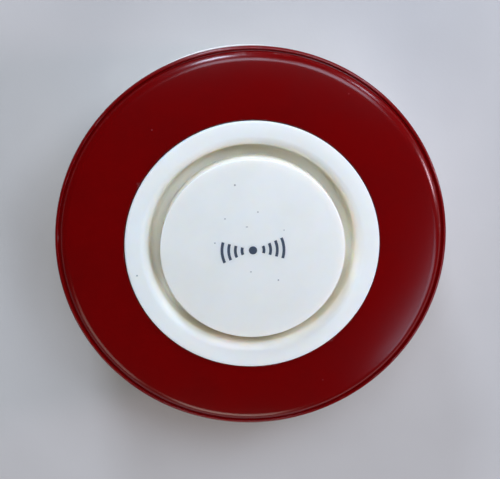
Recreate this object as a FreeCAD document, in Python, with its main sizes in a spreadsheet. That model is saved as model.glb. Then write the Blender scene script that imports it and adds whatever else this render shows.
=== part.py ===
import FreeCAD, Part
import math
import os
import re

import Sketcher

# A round wireless indoor siren, lying on its wall plate. The origin is the centre of the plate's
# back face, +Z points to the front and +X is to the right of someone who faces the front.
# Lengths are in millimetres and angles in degrees.

DIMENSIONS = {
    # Wall plate
    "plate_setback": 0.3,
    "plate_thickness": 2.4,
    "plate_edge_round": 0.8,
    "plate_seam": 0.3,
    "wall_screw_spacing": 60.0,
    "wall_screw_hole": 2.25,
    "wall_screw_head": 4.3,
    "wall_screw_sink": 1.8,
    # Bayonet between the wall plate and the housing
    "hook_neck": 2.0,
    "hook_reach": 2.2,
    "hook_head": 1.6,
    "hook_arc": 8.0,
    "hook_count": 4,
    "hook_gap": 0.3,
    "hook_slack": 0.5,
    "twist_angle": 15.0,
    # Rear housing
    "back_setback": 2.2,
    "rim_setback": 1.0,
    "housing_wall": 2.4,
    "housing_floor": 2.3,
    "housing_edge_round": 1.5,
    "housing_inner_round": 1.5,
    "spigot_wall": 1.6,
    "spigot_height": 4.0,
    "spigot_gap": 0.3,
    # Screws that close the siren
    "case_screw_angle": 45.0,
    "case_screw_count": 4,
    "case_screw_shank": 1.4,
    "case_screw_head": 2.7,
    "case_screw_head_height": 2.0,
    "case_screw_length": 10.0,
    "case_boss_radius": 4.2,
    "case_boss_top": 20.0,
    "case_boss_web": 2.5,
    "case_post_radius": 3.2,
    "screw_gap": 0.1,
    "head_gap": 0.3,
    "drive_width": 0.6,
    "drive_depth": 0.8,
    "drive_margin": 1.0,
    # Battery bay with four round cells
    "cell_radius": 7.1,
    "cell_length": 50.5,
    "cell_nub_radius": 2.75,
    "cell_nub": 1.0,
    "cell_pitch": 14.7,
    "cell_gap": 0.3,
    "cell_edge": 0.5,
    "divider_width": 1.0,
    "divider_depth": 2.4,
    "divider_setback": 6.0,
    "bay_side_gap": 0.95,
    "bay_wall": 1.5,
    "bay_roof": 1.2,
    "contact_thickness": 0.5,
    "contact_width": 10.0,
    "contact_height": 10.0,
    "contact_tab": 3.0,
    "tab_gap": 0.3,
    "spring_length": 5.9,
    "spring_wire": 0.45,
    "spring_radius": 4.2,
    "spring_turns": 3.0,
    "spring_taper": 12.0,
    # Battery cover
    "cover_thickness": 1.5,
    "cover_ledge": 2.5,
    "cover_gap": 0.25,
    "cover_lug": 5.0,
    "cover_lug_reach": 3.2,
    "cover_screw_shank": 1.2,
    "cover_screw_head": 2.6,
    "cover_screw_length": 8.0,
    "screw_end_gap": 1.0,
    "cover_boss_radius": 3.6,
    "grip_rib_count": 5,
    "grip_rib_width": 1.0,
    "grip_rib_pitch": 2.2,
    "grip_rib_length": 16.0,
    "grip_rib_depth": 0.5,
    # Main board and what stands on it
    "board_thickness": 1.2,
    "board_gap": 1.0,
    "board_screw_across": 14.0,
    "board_screw_along": 37.5,
    "board_screw_shank": 1.1,
    "board_screw_head": 2.1,
    "board_screw_head_height": 1.4,
    "board_screw_length": 7.0,
    "board_post_radius": 2.8,
    "led_count": 8,
    "led_side": 3.0,
    "led_base": 0.7,
    "led_radius": 1.3,
    "led_height": 1.6,
    "part_circle": 28.0,
    "inductor_radius": 4.0,
    "inductor_waist": 3.2,
    "inductor_cheek": 0.9,
    "inductor_height": 4.4,
    "inductor_angle": 20.0,
    "capacitor_radius": 3.15,
    "capacitor_foot": 6.6,
    "capacitor_foot_height": 0.9,
    "capacitor_height": 5.6,
    "capacitor_angle": -20.0,
    "chip_side": 7.0,
    "chip_height": 1.0,
    "chip_angle": 60.0,
    "chip_dot": 0.4,
    "chip_dot_inset": 1.0,
    "chip_dot_depth": 0.2,
    "lead_count": 8,
    "lead_pitch": 0.8,
    "lead_width": 0.35,
    "lead_reach": 0.8,
    "lead_thickness": 0.25,
    "radio_length": 16.0,
    "radio_width": 9.0,
    "radio_board": 0.8,
    "radio_can": 1.8,
    "radio_margin": 1.0,
    "antenna_circle": 32.5,
    "antenna_wire": 0.4,
    "antenna_lift": 2.4,
    "antenna_start": 195.0,
    "antenna_arc": 50.0,
    # Light reflector
    "reflector_gap": 1.7,
    "reflector_margin": 0.5,
    "reflector_side_gap": 0.6,
    "reflector_skin": 0.8,
    "reflector_rise": 4.6,
    "reflector_collar": 5.0,
    "reflector_window": 2.3,
    "post_hole_gap": 0.3,
    # Lens
    "lens_radius": 60.0,
    "lip_height": 35.7,
    "lip_round": 0.95,
    "lip_groove": 0.5,
    "groove_width": 0.4,
    "skirt_depth": 10.0,
    "skirt_taper": 0.7,
    "lens_wall": 1.8,
    "dome_rise": 3.15,
    "dome_fall": 1.6,
    "dome_curve": 120.0,
    "shoulder_width": 2.65,
    "shoulder_curve": 3.65,
    "shoulder_toe": 0.1,
    "ledge_width": 2.9,
    "ledge_thickness": 2.0,
    "ring_gap": 0.3,
    # Horn
    "horn_radius": 38.6,
    "horn_rise": 3.8,
    "ring_dish": 0.3,
    "flange_thickness": 1.5,
    "flange_edge_round": 0.35,
    "flange_width": 7.1,
    "mouth_round": 3.0,
    "mouth_draft": 0.25,
    "horn_wall": 2.0,
    "horn_depth": 8.0,
    "horn_floor": 2.0,
    "horn_fillet": 1.5,
    "throat_radius": 9.0,
    "throat_bar_width": 1.4,
    "snap_count": 4,
    "snap_reach": 3.2,
    "snap_height": 1.6,
    "snap_arc": 12.0,
    "snap_gap": 0.2,
    "collar_wall": 1.6,
    "collar_depth": 3.0,
    # Deflector disc in the horn's mouth
    "mouth_gap": 3.7,
    "disc_rib_radius": 12.0,
    "disc_rib_width": 1.2,
    "disc_rib_depth": 1.4,
    "disc_rise": 2.5,
    "disc_thickness": 1.8,
    "disc_wall": 1.6,
    "disc_skirt": 8.0,
    "disc_edge": 0.2,
    "leg_circle": 20.0,
    "leg_angle": 45.0,
    "leg_radius": 2.0,
    "leg_count": 4,
    "peg_radius": 1.2,
    "peg_length": 1.5,
    "peg_gap": 0.05,
    # Piezo sounder
    "piezo_radius": 21.0,
    "piezo_gap": 0.1,
    "piezo_height": 6.1,
    "piezo_floor": 1.2,
    "piezo_rim": 1.4,
    "piezo_step": 2.5,
    "clamp_depth": 3.0,
    "clamp_width": 1.9,
    "diaphragm_thickness": 0.3,
    "diaphragm_gap": 0.1,
    "ceramic_radius": 13.0,
    "ceramic_thickness": 0.25,
    "pin_radius": 0.5,
    "pin_offset": 10.0,
    "pin_tail": 0.4,
    "pin_gap": 0.15,
    # Tamper plunger, link button and their switches
    "control_offset": 38.0,
    "switch_side": 6.0,
    "switch_height": 3.5,
    "switch_leg_reach": 0.8,
    "switch_leg_width": 0.7,
    "switch_leg_spread": 4.5,
    "switch_leg_thickness": 0.3,
    "plunger_radius": 2.2,
    "plunger_travel": 1.0,
    "plunger_stop": 1.3,
    "plunger_collar": 3.2,
    "plunger_collar_height": 1.0,
    "plunger_pin": 1.2,
    "plunger_end_gap": 0.2,
    "slide_gap": 0.1,
    "guide_wall": 1.7,
    "plunger_guide": 5.0,
    "tamper_coil": 1.95,
    "tamper_wire": 0.3,
    "tamper_turns": 4.0,
    "button_radius": 3.0,
    "button_travel": 0.8,
    "button_flange": 3.8,
    "button_flange_height": 0.8,
    "button_stem": 1.5,
    "button_guide": 1.9,
    "button_seat_gap": 0.3,
}

# Levels above the back face, each worked out from the driving dimensions
HOUSING_BACK = "(plate_thickness + plate_seam)"
FLOOR_TOP = f"({HOUSING_BACK} + housing_floor)"
HOOK_HEAD_LOW = f"({FLOOR_TOP} + hook_gap)"
CELL_AXIS = f"({HOUSING_BACK} + cover_thickness + cell_gap + cell_radius)"
BAY_CEILING = f"({CELL_AXIS} + cell_radius + cell_gap)"
BAY_TOP = f"({BAY_CEILING} + bay_roof)"
BOARD_LOW = f"({BAY_TOP} + board_gap)"
BOARD_TOP = f"({BOARD_LOW} + board_thickness)"
SKIRT_LOW = "(lip_height - skirt_depth)"
RING_TOP = "(lip_height + horn_rise)"
MOUTH_TOP = f"({RING_TOP} - ring_dish)"
LEDGE_TOP = f"({RING_TOP} - flange_thickness)"
LEDGE_LOW = f"({LEDGE_TOP} - ledge_thickness)"
HORN_FLOOR_TOP = f"({RING_TOP} - horn_depth)"
HORN_FLOOR_LOW = f"({HORN_FLOOR_TOP} - horn_floor)"
DISC_TOP = f"({RING_TOP} + disc_rise)"
PIEZO_LOW = f"({HORN_FLOOR_LOW} - piezo_height)"
CLAMP_LOW = f"({HORN_FLOOR_LOW} - clamp_depth)"
SWITCH_LOW = f"({BOARD_LOW} - switch_height)"
CASE_HEAD_TOP = "(case_boss_top - case_boss_web)"

# Half sizes and radii that several pieces share
OUTER_CELL_X = "(1.5 * cell_pitch)"
BAY_HALF_X = f"({OUTER_CELL_X} + cell_radius + bay_side_gap)"
BAY_HALF_Y = "(cell_length / 2 + spring_length / 2 + contact_thickness)"
LUG_Y = f"({BAY_HALF_Y} + cover_ledge + cover_lug_reach)"
SPIGOT_RADIUS = "(lens_radius - skirt_taper - lens_wall - spigot_gap)"
LENS_INNER = "(lens_radius - skirt_taper - lens_wall)"
SPIGOT_INNER = f"({SPIGOT_RADIUS} - spigot_wall)"
BACK_RADIUS = "(lens_radius - back_setback)"
PLATE_RADIUS = f"({BACK_RADIUS} - plate_setback)"
HOUSING_INNER = f"({BACK_RADIUS} - housing_wall)"
RING_SEAT = "(horn_radius + ring_gap)"
LEDGE_INNER = f"({RING_SEAT} - ledge_width)"
MOUTH_RADIUS = "(horn_radius - flange_width)"
DISC_RADIUS = f"({MOUTH_RADIUS} - mouth_gap)"
HORN_OUTER = f"({MOUTH_RADIUS} + horn_wall)"
BOARD_RADIUS = f"(({HORN_OUTER} + {SPIGOT_INNER}) / 2)"
CASE_SCREW_CIRCLE = f"(({BOARD_RADIUS} + {SPIGOT_INNER}) / 2)"
REFLECTOR_INNER = f"({HORN_OUTER} + reflector_gap)"
LED_CIRCLE = f"(({REFLECTOR_INNER} + {BOARD_RADIUS}) / 2)"
PIEZO_BORE = "(piezo_radius - piezo_rim)"
PLUNGER_HOLE = "(plunger_radius + slide_gap)"
BUTTON_HOLE = "(button_radius + slide_gap)"
PLUNGER_GUIDE = f"({PLUNGER_HOLE} + guide_wall)"
HOOK_RADIUS = f"((control_offset + {PLUNGER_GUIDE} + {HOUSING_INNER} + hook_reach) / 2)"
TURNS_IN_A_SEGMENT = 1

document = FreeCAD.newDocument("indoor_siren")
sheet = document.addObject("Spreadsheet::Sheet", "Sizes")
for row, (name, value) in enumerate(DIMENSIONS.items(), start=1):
    sheet.set(f"A{row}", name)
    sheet.set(f"B{row}", str(value))
    sheet.setAlias(f"B{row}", name)
document.recompute()

sub_parts = []


def bound(text):
    """Return the expression with each size name written as a reference to the sheet."""
    return re.sub(r"[a-z_]+", lambda word: sheet_name(word.group()), str(text))


def sheet_name(word):
    """Return Sizes.word for a driving dimension, and any other word as it is."""
    return f"Sizes.{word}" if word in DIMENSIONS else word


def number(text):
    """Return the present value of an expression."""
    result = sheet.evalExpression(bound(text))
    return float(getattr(result, "Value", result))


def whole(name):
    """Return a count from the sheet."""
    return int(round(number(name)))


def listed(piece, label):
    """Give a sub-part its label and put it on the list of pieces to write."""
    piece.Label = label
    sub_parts.append(piece)
    return piece


def moved(piece, x="0", y="0", z="0"):
    """Bind a piece's place to expressions."""
    for axis, text in zip("xyz", (x, y, z)):
        if str(text) != "0":
            piece.setExpression(f"Placement.Base.{axis}", bound(text))
    return piece


def cylinder(name, radius, height, x="0", y="0", z="0"):
    """An upright cylinder whose foot is centred on (x, y, z)."""
    piece = document.addObject("Part::Cylinder", name)
    piece.setExpression("Radius", bound(radius))
    piece.setExpression("Height", bound(height))
    return moved(piece, x, y, z)


def cone(name, low_radius, high_radius, height, x="0", y="0", z="0"):
    """An upright cone whose foot is centred on (x, y, z)."""
    piece = document.addObject("Part::Cone", name)
    piece.setExpression("Radius1", bound(low_radius))
    piece.setExpression("Radius2", bound(high_radius))
    piece.setExpression("Height", bound(height))
    return moved(piece, x, y, z)


def block(name, length, width, height, x="0", y="0", z="0"):
    """A box centred on (x, y) that stands on level z."""
    piece = document.addObject("Part::Box", name)
    piece.setExpression("Length", bound(length))
    piece.setExpression("Width", bound(width))
    piece.setExpression("Height", bound(height))
    return moved(piece, f"{x} - ({length}) / 2", f"{y} - ({width}) / 2", z)


def fused(name, pieces):
    """One solid from several that touch."""
    piece = document.addObject("Part::MultiFuse", name)
    piece.Shapes = pieces
    piece.Refine = True
    return piece


def cut(name, base, tool):
    """The base without the tool."""
    piece = document.addObject("Part::Cut", name)
    piece.Base, piece.Tool = base, tool
    return piece


def group(name, pieces):
    """Separate solids kept in one node."""
    piece = document.addObject("Part::Compound", name)
    piece.Links = pieces
    return piece


def body(label):
    """An empty body for a piece that is made from sketches."""
    return listed(document.addObject("PartDesign::Body", label), label)


def arc_between(start, end, radius, side):
    """The short arc from start to end, its centre to the left (side 1) or right (side -1)."""
    half = (end - start) * 0.5
    reach = math.sqrt(max(radius**2 - half.Length**2, 0.0))
    normal = FreeCAD.Vector(-half.y, half.x, 0).normalize()
    centre = start + half + normal * (reach * side)
    first, last = (start, end) if side > 0 else (end, start)
    angles = [math.atan2(point.y - centre.y, point.x - centre.x) for point in (first, last)]
    circle = Part.Circle(centre, FreeCAD.Vector(0, 0, 1), radius)
    return Part.ArcOfCircle(circle, *angles)


def tie(sketch, kind, index, end, text):
    """Hold one coordinate of a sketch point at an expression, or on the axis where it is 0."""
    if str(text) == "0":
        axis = -2 if kind == "DistanceX" else -1
        sketch.addConstraint(Sketcher.Constraint("PointOnObject", index, end, axis))
        return
    place = sketch.addConstraint(Sketcher.Constraint(kind, -1, 1, index, end, number(text)))
    sketch.setExpression(f"Constraints[{place}]", bound(text))


def hold_radius(sketch, index, text):
    """Hold the radius of a sketch circle or arc at an expression."""
    place = sketch.addConstraint(Sketcher.Constraint("Radius", index, number(text)))
    sketch.setExpression(f"Constraints[{place}]", bound(text))


def new_sketch(owner, name, role, level="0"):
    """A sketch on one of the body's own planes, lifted to a level."""
    sketch = owner.newObject("Sketcher::SketchObject", name)
    plane = next(item for item in owner.Origin.OriginFeatures if item.Role == role)
    sketch.AttachmentSupport = [(plane, "")]
    sketch.MapMode = "FlatFace"
    if str(level) != "0":
        sketch.setExpression("AttachmentOffset.Base.z", bound(level))
    return sketch


def draw_outline(sketch, points):
    """Draw a closed outline. A point is (x, y), or (x, y, radius, side) where an arc leaves it."""
    places = [FreeCAD.Vector(number(point[0]), number(point[1]), 0) for point in points]
    first = sketch.GeometryCount
    ends = []
    for index, point in enumerate(points):
        start, end = places[index], places[(index + 1) % len(points)]
        if len(point) == 4:
            sketch.addGeometry(arc_between(start, end, number(point[2]), point[3]), False)
            ends.append((1, 2) if point[3] > 0 else (2, 1))
        else:
            sketch.addGeometry(Part.LineSegment(start, end), False)
            ends.append((1, 2))
    for index in range(len(points)):
        after = (index + 1) % len(points)
        joint = (first + index, ends[index][1], first + after, ends[after][0])
        sketch.addConstraint(Sketcher.Constraint("Coincident", *joint))
    for index, point in enumerate(points):
        tie(sketch, "DistanceX", first + index, ends[index][0], point[0])
        tie(sketch, "DistanceY", first + index, ends[index][0], point[1])
        if len(point) == 4:
            hold_radius(sketch, first + index, point[2])


def draw_circle(sketch, x, y, radius):
    """Draw a circle with its centre and radius bound to expressions."""
    centre = FreeCAD.Vector(number(x), number(y), 0)
    circle = Part.Circle(centre, FreeCAD.Vector(0, 0, 1), number(radius))
    index = sketch.addGeometry(circle, False)
    tie(sketch, "DistanceX", index, 3, x)
    tie(sketch, "DistanceY", index, 3, y)
    hold_radius(sketch, index, radius)


def rectangle(half_x, half_y, x="0", y="0"):
    """The corners of a rectangle centred on (x, y)."""
    signs = ((-1, -1), (1, -1), (1, 1), (-1, 1))
    return [(f"{x} + {sx} * ({half_x})", f"{y} + {sy} * ({half_y})") for sx, sy in signs]


def ring_sector(inner, outer, start, end):
    """The outline of a sector of a ring between two angles."""
    return [
        (f"({inner}) * cos({start})", f"({inner}) * sin({start})"),
        (f"({outer}) * cos({start})", f"({outer}) * sin({start})", outer, 1),
        (f"({outer}) * cos({end})", f"({outer}) * sin({end})"),
        (f"({inner}) * cos({end})", f"({inner}) * sin({end})", inner, -1),
    ]


def turned(owner, name, points):
    """Revolve a profile of (radius, level) points about the siren's axis."""
    sketch = new_sketch(owner, f"{name}_profile", "XZ_Plane")
    draw_outline(sketch, points)
    feature = owner.newObject("PartDesign::Revolution", name)
    feature.Profile = sketch
    feature.ReferenceAxis = (sketch, ["V_Axis"])
    feature.Angle = 360
    return feature


def raised(owner, name, level, height, outlines=(), circles=()):
    """Pad outlines and circles upwards from a level."""
    return extruded(owner, "PartDesign::Pad", name, level, height, outlines, circles)


def sunk(owner, name, level, depth, outlines=(), circles=(), upwards=True):
    """Cut outlines and circles into the body, upwards or downwards from a level."""
    feature = extruded(owner, "PartDesign::Pocket", name, level, depth, outlines, circles)
    feature.Reversed = upwards
    return feature


def extruded(owner, kind, name, level, height, outlines, circles):
    """Make a pad or a pocket from a sketch at a level."""
    sketch = new_sketch(owner, f"{name}_outline", "XY_Plane", level)
    for points in outlines:
        draw_outline(sketch, points)
    for circle in circles:
        draw_circle(sketch, *circle)
    feature = owner.newObject(kind, name)
    feature.Profile = sketch
    feature.setExpression("Length", bound(height))
    return feature


def around(owner, feature, count):
    """Repeat a feature evenly about the siren's axis."""
    pattern = owner.newObject("PartDesign::PolarPattern", f"{feature.Name}_ring")
    pattern.Originals = [feature]
    axis = next(item for item in owner.Origin.OriginFeatures if item.Role == "Z_Axis")
    pattern.Axis = (axis, [""])
    pattern.Angle = 360
    pattern.setExpression("Occurrences", bound(count))
    owner.Tip = pattern
    return pattern


def coil(name, radius, length, turns, wire, taper="0"):
    """A coil spring of round wire that stands on the ground plane, wound upwards."""
    path = document.addObject("Part::Helix", f"{name}_path")
    path.setExpression("Radius", bound(radius))
    path.setExpression("Pitch", bound(f"(({length}) - 2 * {wire}) / {turns}"))
    path.setExpression("Height", bound(f"({length}) - 2 * {wire}"))
    path.setExpression("Angle", bound(f"0 - {taper}"))
    path.setExpression("Placement.Base.z", bound(wire))
    path.SegmentLength = TURNS_IN_A_SEGMENT
    section = document.addObject("Part::Circle", f"{name}_section")
    section.setExpression("Radius", bound(wire))
    section.Placement.Rotation = FreeCAD.Rotation(FreeCAD.Vector(1, 0, 0), 90)
    section.setExpression("Placement.Base.x", bound(radius))
    section.setExpression("Placement.Base.z", bound(wire))
    spring = document.addObject("Part::Sweep", name)
    spring.Sections = [section]
    spring.Spine = path
    spring.Solid = True
    spring.Frenet = True
    return spring


def corners(across, along):
    """The four places at plus and minus across and along."""
    return [(f"{sx} * {across}", f"{sy} * {along}") for sx in (-1, 1) for sy in (-1, 1)]


def polar_place(radius, angle):
    """The x and y expressions of a place given by radius and angle."""
    return f"({radius}) * cos({angle})", f"({radius}) * sin({angle})"


def screw(name, pieces, head, x, y, level):
    """A screw whose head has a cross recess, sunk upwards from a level."""
    span = f"2 * ({head} - drive_margin)"
    slots = [block(f"{name}_slot_{index + 1}", length, width, "drive_depth", x, y, level)
             for index, (length, width) in enumerate(((span, "drive_width"), ("drive_width", span)))]
    return cut(name, fused(f"{name}_blank", pieces), fused(f"{name}_recess", slots))


def board_circles(radius):
    """Circles of one radius at the four board screws."""
    return [(x, y, radius) for x, y in corners("board_screw_across", "board_screw_along")]


def build_mounting_plate():
    """The round plate that is screwed to the wall, with four bayonet hooks."""
    plate = body("mounting_plate")
    turned(plate, "plate_disc", [
        ("0", "0"),
        (PLATE_RADIUS, "0"),
        (PLATE_RADIUS, "plate_thickness - plate_edge_round", "plate_edge_round", 1),
        (f"{PLATE_RADIUS} - plate_edge_round", "plate_thickness"),
        ("0", "plate_thickness"),
    ])
    half_arc = "hook_arc / 2"
    inner, outer = f"{HOOK_RADIUS} - hook_neck / 2", f"{HOOK_RADIUS} + hook_neck / 2"
    neck = ring_sector(inner, outer, f"-{half_arc}", half_arc)
    head_inner = f"{inner} - hook_reach"
    head = ring_sector(head_inner, outer, f"-{half_arc}", half_arc)
    neck_height = f"{HOOK_HEAD_LOW} + hook_head - plate_thickness"
    around(plate, raised(plate, "hook_neck_pad", "plate_thickness", neck_height, [neck]), "hook_count")
    around(plate, raised(plate, "hook_head_pad", HOOK_HEAD_LOW, "hook_head", [head]), "hook_count")
    window = ring_sector(f"{head_inner} - hook_gap", inner,
                         f"-{half_arc} - hook_slack", f"{half_arc} + hook_slack")
    around(plate, sunk(plate, "hook_window", "0", "plate_thickness", [window]), "hook_count")
    holes = [(f"{side} * wall_screw_spacing / 2", "0", "wall_screw_hole") for side in (-1, 1)]
    sunk(plate, "wall_screw_holes", "0", "plate_thickness", circles=holes)
    for side, place in (("left", "-1"), ("right", "1")):
        sink = plate.newObject("PartDesign::SubtractiveCone", f"wall_screw_sink_{side}")
        sink.setExpression("Radius1", bound("wall_screw_hole"))
        sink.setExpression("Radius2", bound("wall_screw_head"))
        sink.setExpression("Height", bound("wall_screw_sink"))
        sink.setExpression("Placement.Base.x", bound(f"{place} * wall_screw_spacing / 2"))
        sink.setExpression("Placement.Base.z", bound("plate_thickness - wall_screw_sink"))


def build_rear_housing():
    """The white tub: a drafted wall, a spigot for the lens, the battery bay and the bosses."""
    tub = body("rear_housing")
    turned(tub, "tub_shell", [
        ("0", HOUSING_BACK),
        (f"{BACK_RADIUS} - housing_edge_round", HOUSING_BACK, "housing_edge_round", 1),
        (BACK_RADIUS, f"{HOUSING_BACK} + housing_edge_round"),
        ("lens_radius - rim_setback", SKIRT_LOW),
        (SPIGOT_RADIUS, SKIRT_LOW),
        (SPIGOT_RADIUS, f"{SKIRT_LOW} + spigot_height"),
        (SPIGOT_INNER, f"{SKIRT_LOW} + spigot_height"),
        (SPIGOT_INNER, SKIRT_LOW),
        (HOUSING_INNER, f"{FLOOR_TOP} + housing_inner_round", "housing_inner_round", -1),
        (f"{HOUSING_INNER} - housing_inner_round", FLOOR_TOP),
        ("0", FLOOR_TOP),
    ])
    bay = rectangle(f"{BAY_HALF_X} + bay_wall", f"{BAY_HALF_Y} + bay_wall")
    raised(tub, "bay_block", HOUSING_BACK, f"{BAY_TOP} - {HOUSING_BACK}", [bay])
    lug_boss = ("0", LUG_Y, "cover_boss_radius")
    raised(tub, "cover_boss", HOUSING_BACK, f"cover_screw_length + {FLOOR_TOP} - {HOUSING_BACK}",
           circles=[lug_boss])
    raised(tub, "board_posts", HOUSING_BACK, f"{BOARD_LOW} - {HOUSING_BACK}",
           circles=board_circles("board_post_radius"))
    raised(tub, "plunger_guide_boss", HOUSING_BACK, "housing_floor + plunger_guide",
           circles=[("control_offset", "0", PLUNGER_GUIDE)])
    raised(tub, "button_guide_boss", HOUSING_BACK, "housing_floor + button_guide",
           circles=[("-control_offset", "0", f"{BUTTON_HOLE} + guide_wall")])
    spot = polar_place(CASE_SCREW_CIRCLE, "case_screw_angle")
    boss_height = f"case_boss_top - {HOUSING_BACK}"
    around(tub, raised(tub, "case_boss", HOUSING_BACK, boss_height,
                       circles=[(*spot, "case_boss_radius")]), "case_screw_count")

    recess = rectangle(f"{BAY_HALF_X} + cover_ledge", f"{BAY_HALF_Y} + cover_ledge")
    sunk(tub, "cover_recess", HOUSING_BACK, "cover_thickness", [recess])
    lug_hollow = ("0", LUG_Y, "cover_lug + cover_gap")
    sunk(tub, "cover_lug_recess", HOUSING_BACK, "cover_thickness", circles=[lug_hollow])
    cells = rectangle(BAY_HALF_X, BAY_HALF_Y)
    sunk(tub, "cell_space", HOUSING_BACK, f"{BAY_CEILING} - {HOUSING_BACK}", [cells])
    ridges = [rectangle("divider_width / 2", "cell_length / 2 - divider_setback", f"{step} * cell_pitch")
              for step in (-1, 0, 1)]
    raised(tub, "cell_dividers", f"{BAY_CEILING} - divider_depth", "divider_depth + bay_roof / 2", ridges)
    tab_slot = "(contact_thickness + tab_gap)"
    slots = [rectangle("contact_tab / 2 + tab_gap", f"{tab_slot} / 2", f"{side} * {OUTER_CELL_X}",
                       f"{tab_slot} / 2 - {BAY_HALF_Y}") for side in (-1, 1)]
    sunk(tub, "tab_slots", BAY_CEILING, "bay_roof", slots)
    sunk(tub, "cover_screw_bore", HOUSING_BACK, "cover_screw_length + screw_end_gap",
         circles=[("0", LUG_Y, "cover_screw_shank + screw_gap")])
    sunk(tub, "board_screw_bores", BOARD_LOW, "board_screw_length + screw_end_gap",
         circles=board_circles("board_screw_shank + screw_gap"), upwards=False)
    sunk(tub, "plunger_bore", HOUSING_BACK, "housing_floor + plunger_guide",
         circles=[("control_offset", "0", PLUNGER_HOLE)])
    sunk(tub, "button_bore", HOUSING_BACK, "housing_floor + button_guide",
         circles=[("-control_offset", "0", BUTTON_HOLE)])
    around(tub, sunk(tub, "case_screw_bore", HOUSING_BACK, boss_height,
                     circles=[(*spot, "case_screw_shank + head_gap")]), "case_screw_count")
    around(tub, sunk(tub, "case_screw_well", HOUSING_BACK, f"{CASE_HEAD_TOP} - {HOUSING_BACK}",
                     circles=[(*spot, "case_screw_head + head_gap")]), "case_screw_count")

    outer = f"{HOOK_RADIUS} + hook_neck / 2 + hook_gap"
    inner = f"{HOOK_RADIUS} - hook_neck / 2 - hook_gap"
    spare = "(hook_arc / 2 + hook_slack)"
    track = ring_sector(inner, outer, f"-twist_angle - {spare}", spare)
    entry = ring_sector(f"{inner} - hook_reach", outer, f"-twist_angle - {spare}", f"{spare} - twist_angle")
    around(tub, sunk(tub, "hook_track", HOUSING_BACK, "housing_floor", [track]), "hook_count")
    around(tub, sunk(tub, "hook_entry", HOUSING_BACK, "housing_floor", [entry]), "hook_count")


def build_battery_cover():
    """The flat cover over the cells, with a screw lug and finger ribs, and its screw."""
    cover = body("battery_cover")
    slim = "cover_ledge - cover_gap"
    panel = rectangle(f"{BAY_HALF_X} + {slim}", f"{BAY_HALF_Y} + {slim}")
    raised(cover, "cover_panel", HOUSING_BACK, "cover_thickness", [panel])
    raised(cover, "cover_tongue", HOUSING_BACK, "cover_thickness", circles=[("0", LUG_Y, "cover_lug")])
    sink = cover.newObject("PartDesign::SubtractiveCone", "cover_screw_sink")
    sink.setExpression("Radius1", bound("cover_screw_head + screw_gap"))
    sink.setExpression("Radius2", bound("cover_screw_shank + screw_gap"))
    sink.setExpression("Height", bound("cover_thickness"))
    sink.setExpression("Placement.Base.y", bound(LUG_Y))
    sink.setExpression("Placement.Base.z", bound(HOUSING_BACK))
    ribs = []
    for index in range(whole("grip_rib_count")):
        rib_y = f"grip_rib_pitch * {index} - {BAY_HALF_Y} + grip_rib_pitch"
        ribs.append(rectangle("grip_rib_length / 2", "grip_rib_width / 2", "0", rib_y))
    sunk(cover, "grip_grooves", HOUSING_BACK, "grip_rib_depth", ribs)

    head = cone("cover_screw_head_cone", "cover_screw_head", "cover_screw_shank", "cover_thickness",
                "0", LUG_Y, HOUSING_BACK)
    shank = cylinder("cover_screw_shank_rod", "cover_screw_shank",
                     "cover_screw_length - cover_thickness", "0", LUG_Y, f"{HOUSING_BACK} + cover_thickness")
    listed(screw("cover_screw", [head, shank], "cover_screw_head", "0", LUG_Y, HOUSING_BACK),
           "battery_cover_screw")


def build_cells():
    """Four round cells side by side, head to tail, with their springs and contact plates."""
    springs, contacts = [], []
    shell = "cell_length - cell_nub"
    for index in range(4):
        way = 1 if index % 2 == 0 else -1
        x = f"{index - 1.5} * cell_pitch"
        foot = f"{-way} * ({BAY_HALF_Y} - contact_thickness - spring_length)"
        cell = body(f"battery_cell_{index + 1}")
        turned(cell, f"cell_can_{index + 1}", [
            ("0", "0"),
            ("cell_radius - cell_edge", "0", "cell_edge", 1),
            ("cell_radius", "cell_edge"),
            ("cell_radius", f"{shell} - cell_edge", "cell_edge", 1),
            ("cell_radius - cell_edge", shell),
            ("cell_nub_radius", shell),
            ("cell_nub_radius", "cell_length"),
            ("0", "cell_length"),
        ])
        cell.Placement.Rotation = FreeCAD.Rotation(FreeCAD.Vector(1, 0, 0), -90 * way)
        moved(cell, x, foot, CELL_AXIS)
        spring = coil(f"cell_spring_{index + 1}", "spring_radius", "spring_length", "spring_turns",
                      "spring_wire", "spring_taper")
        spring.Placement.Rotation = FreeCAD.Rotation(FreeCAD.Vector(1, 0, 0), -90 * way)
        moved(spring, x, f"{-way} * ({BAY_HALF_Y} - contact_thickness)", CELL_AXIS)
        springs.append(spring)
    listed(group("cell_springs", springs), "battery_springs")

    low = f"{CELL_AXIS} - contact_height / 2"
    spans = [(-1, -1.5, 1), (-1, 0, 2), (-1, 1.5, 1), (1, -1, 2), (1, 1, 2)]
    for index, (end, middle, cells) in enumerate(spans):
        y = f"{end} * ({BAY_HALF_Y} - contact_thickness / 2)"
        width = f"contact_width + {cells - 1} * cell_pitch"
        place = (f"{middle} * cell_pitch", y)
        plate = block(f"contact_{index + 1}", width, "contact_thickness", "contact_height", *place, low)
        if cells == 1:
            tab = block(f"contact_tab_{index + 1}", "contact_tab", "contact_thickness",
                        f"{BOARD_LOW} - {low}", *place, low)
            plate = fused(f"contact_with_tab_{index + 1}", [plate, tab])
        contacts.append(plate)
    listed(group("cell_contacts", contacts), "battery_plates")


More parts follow.
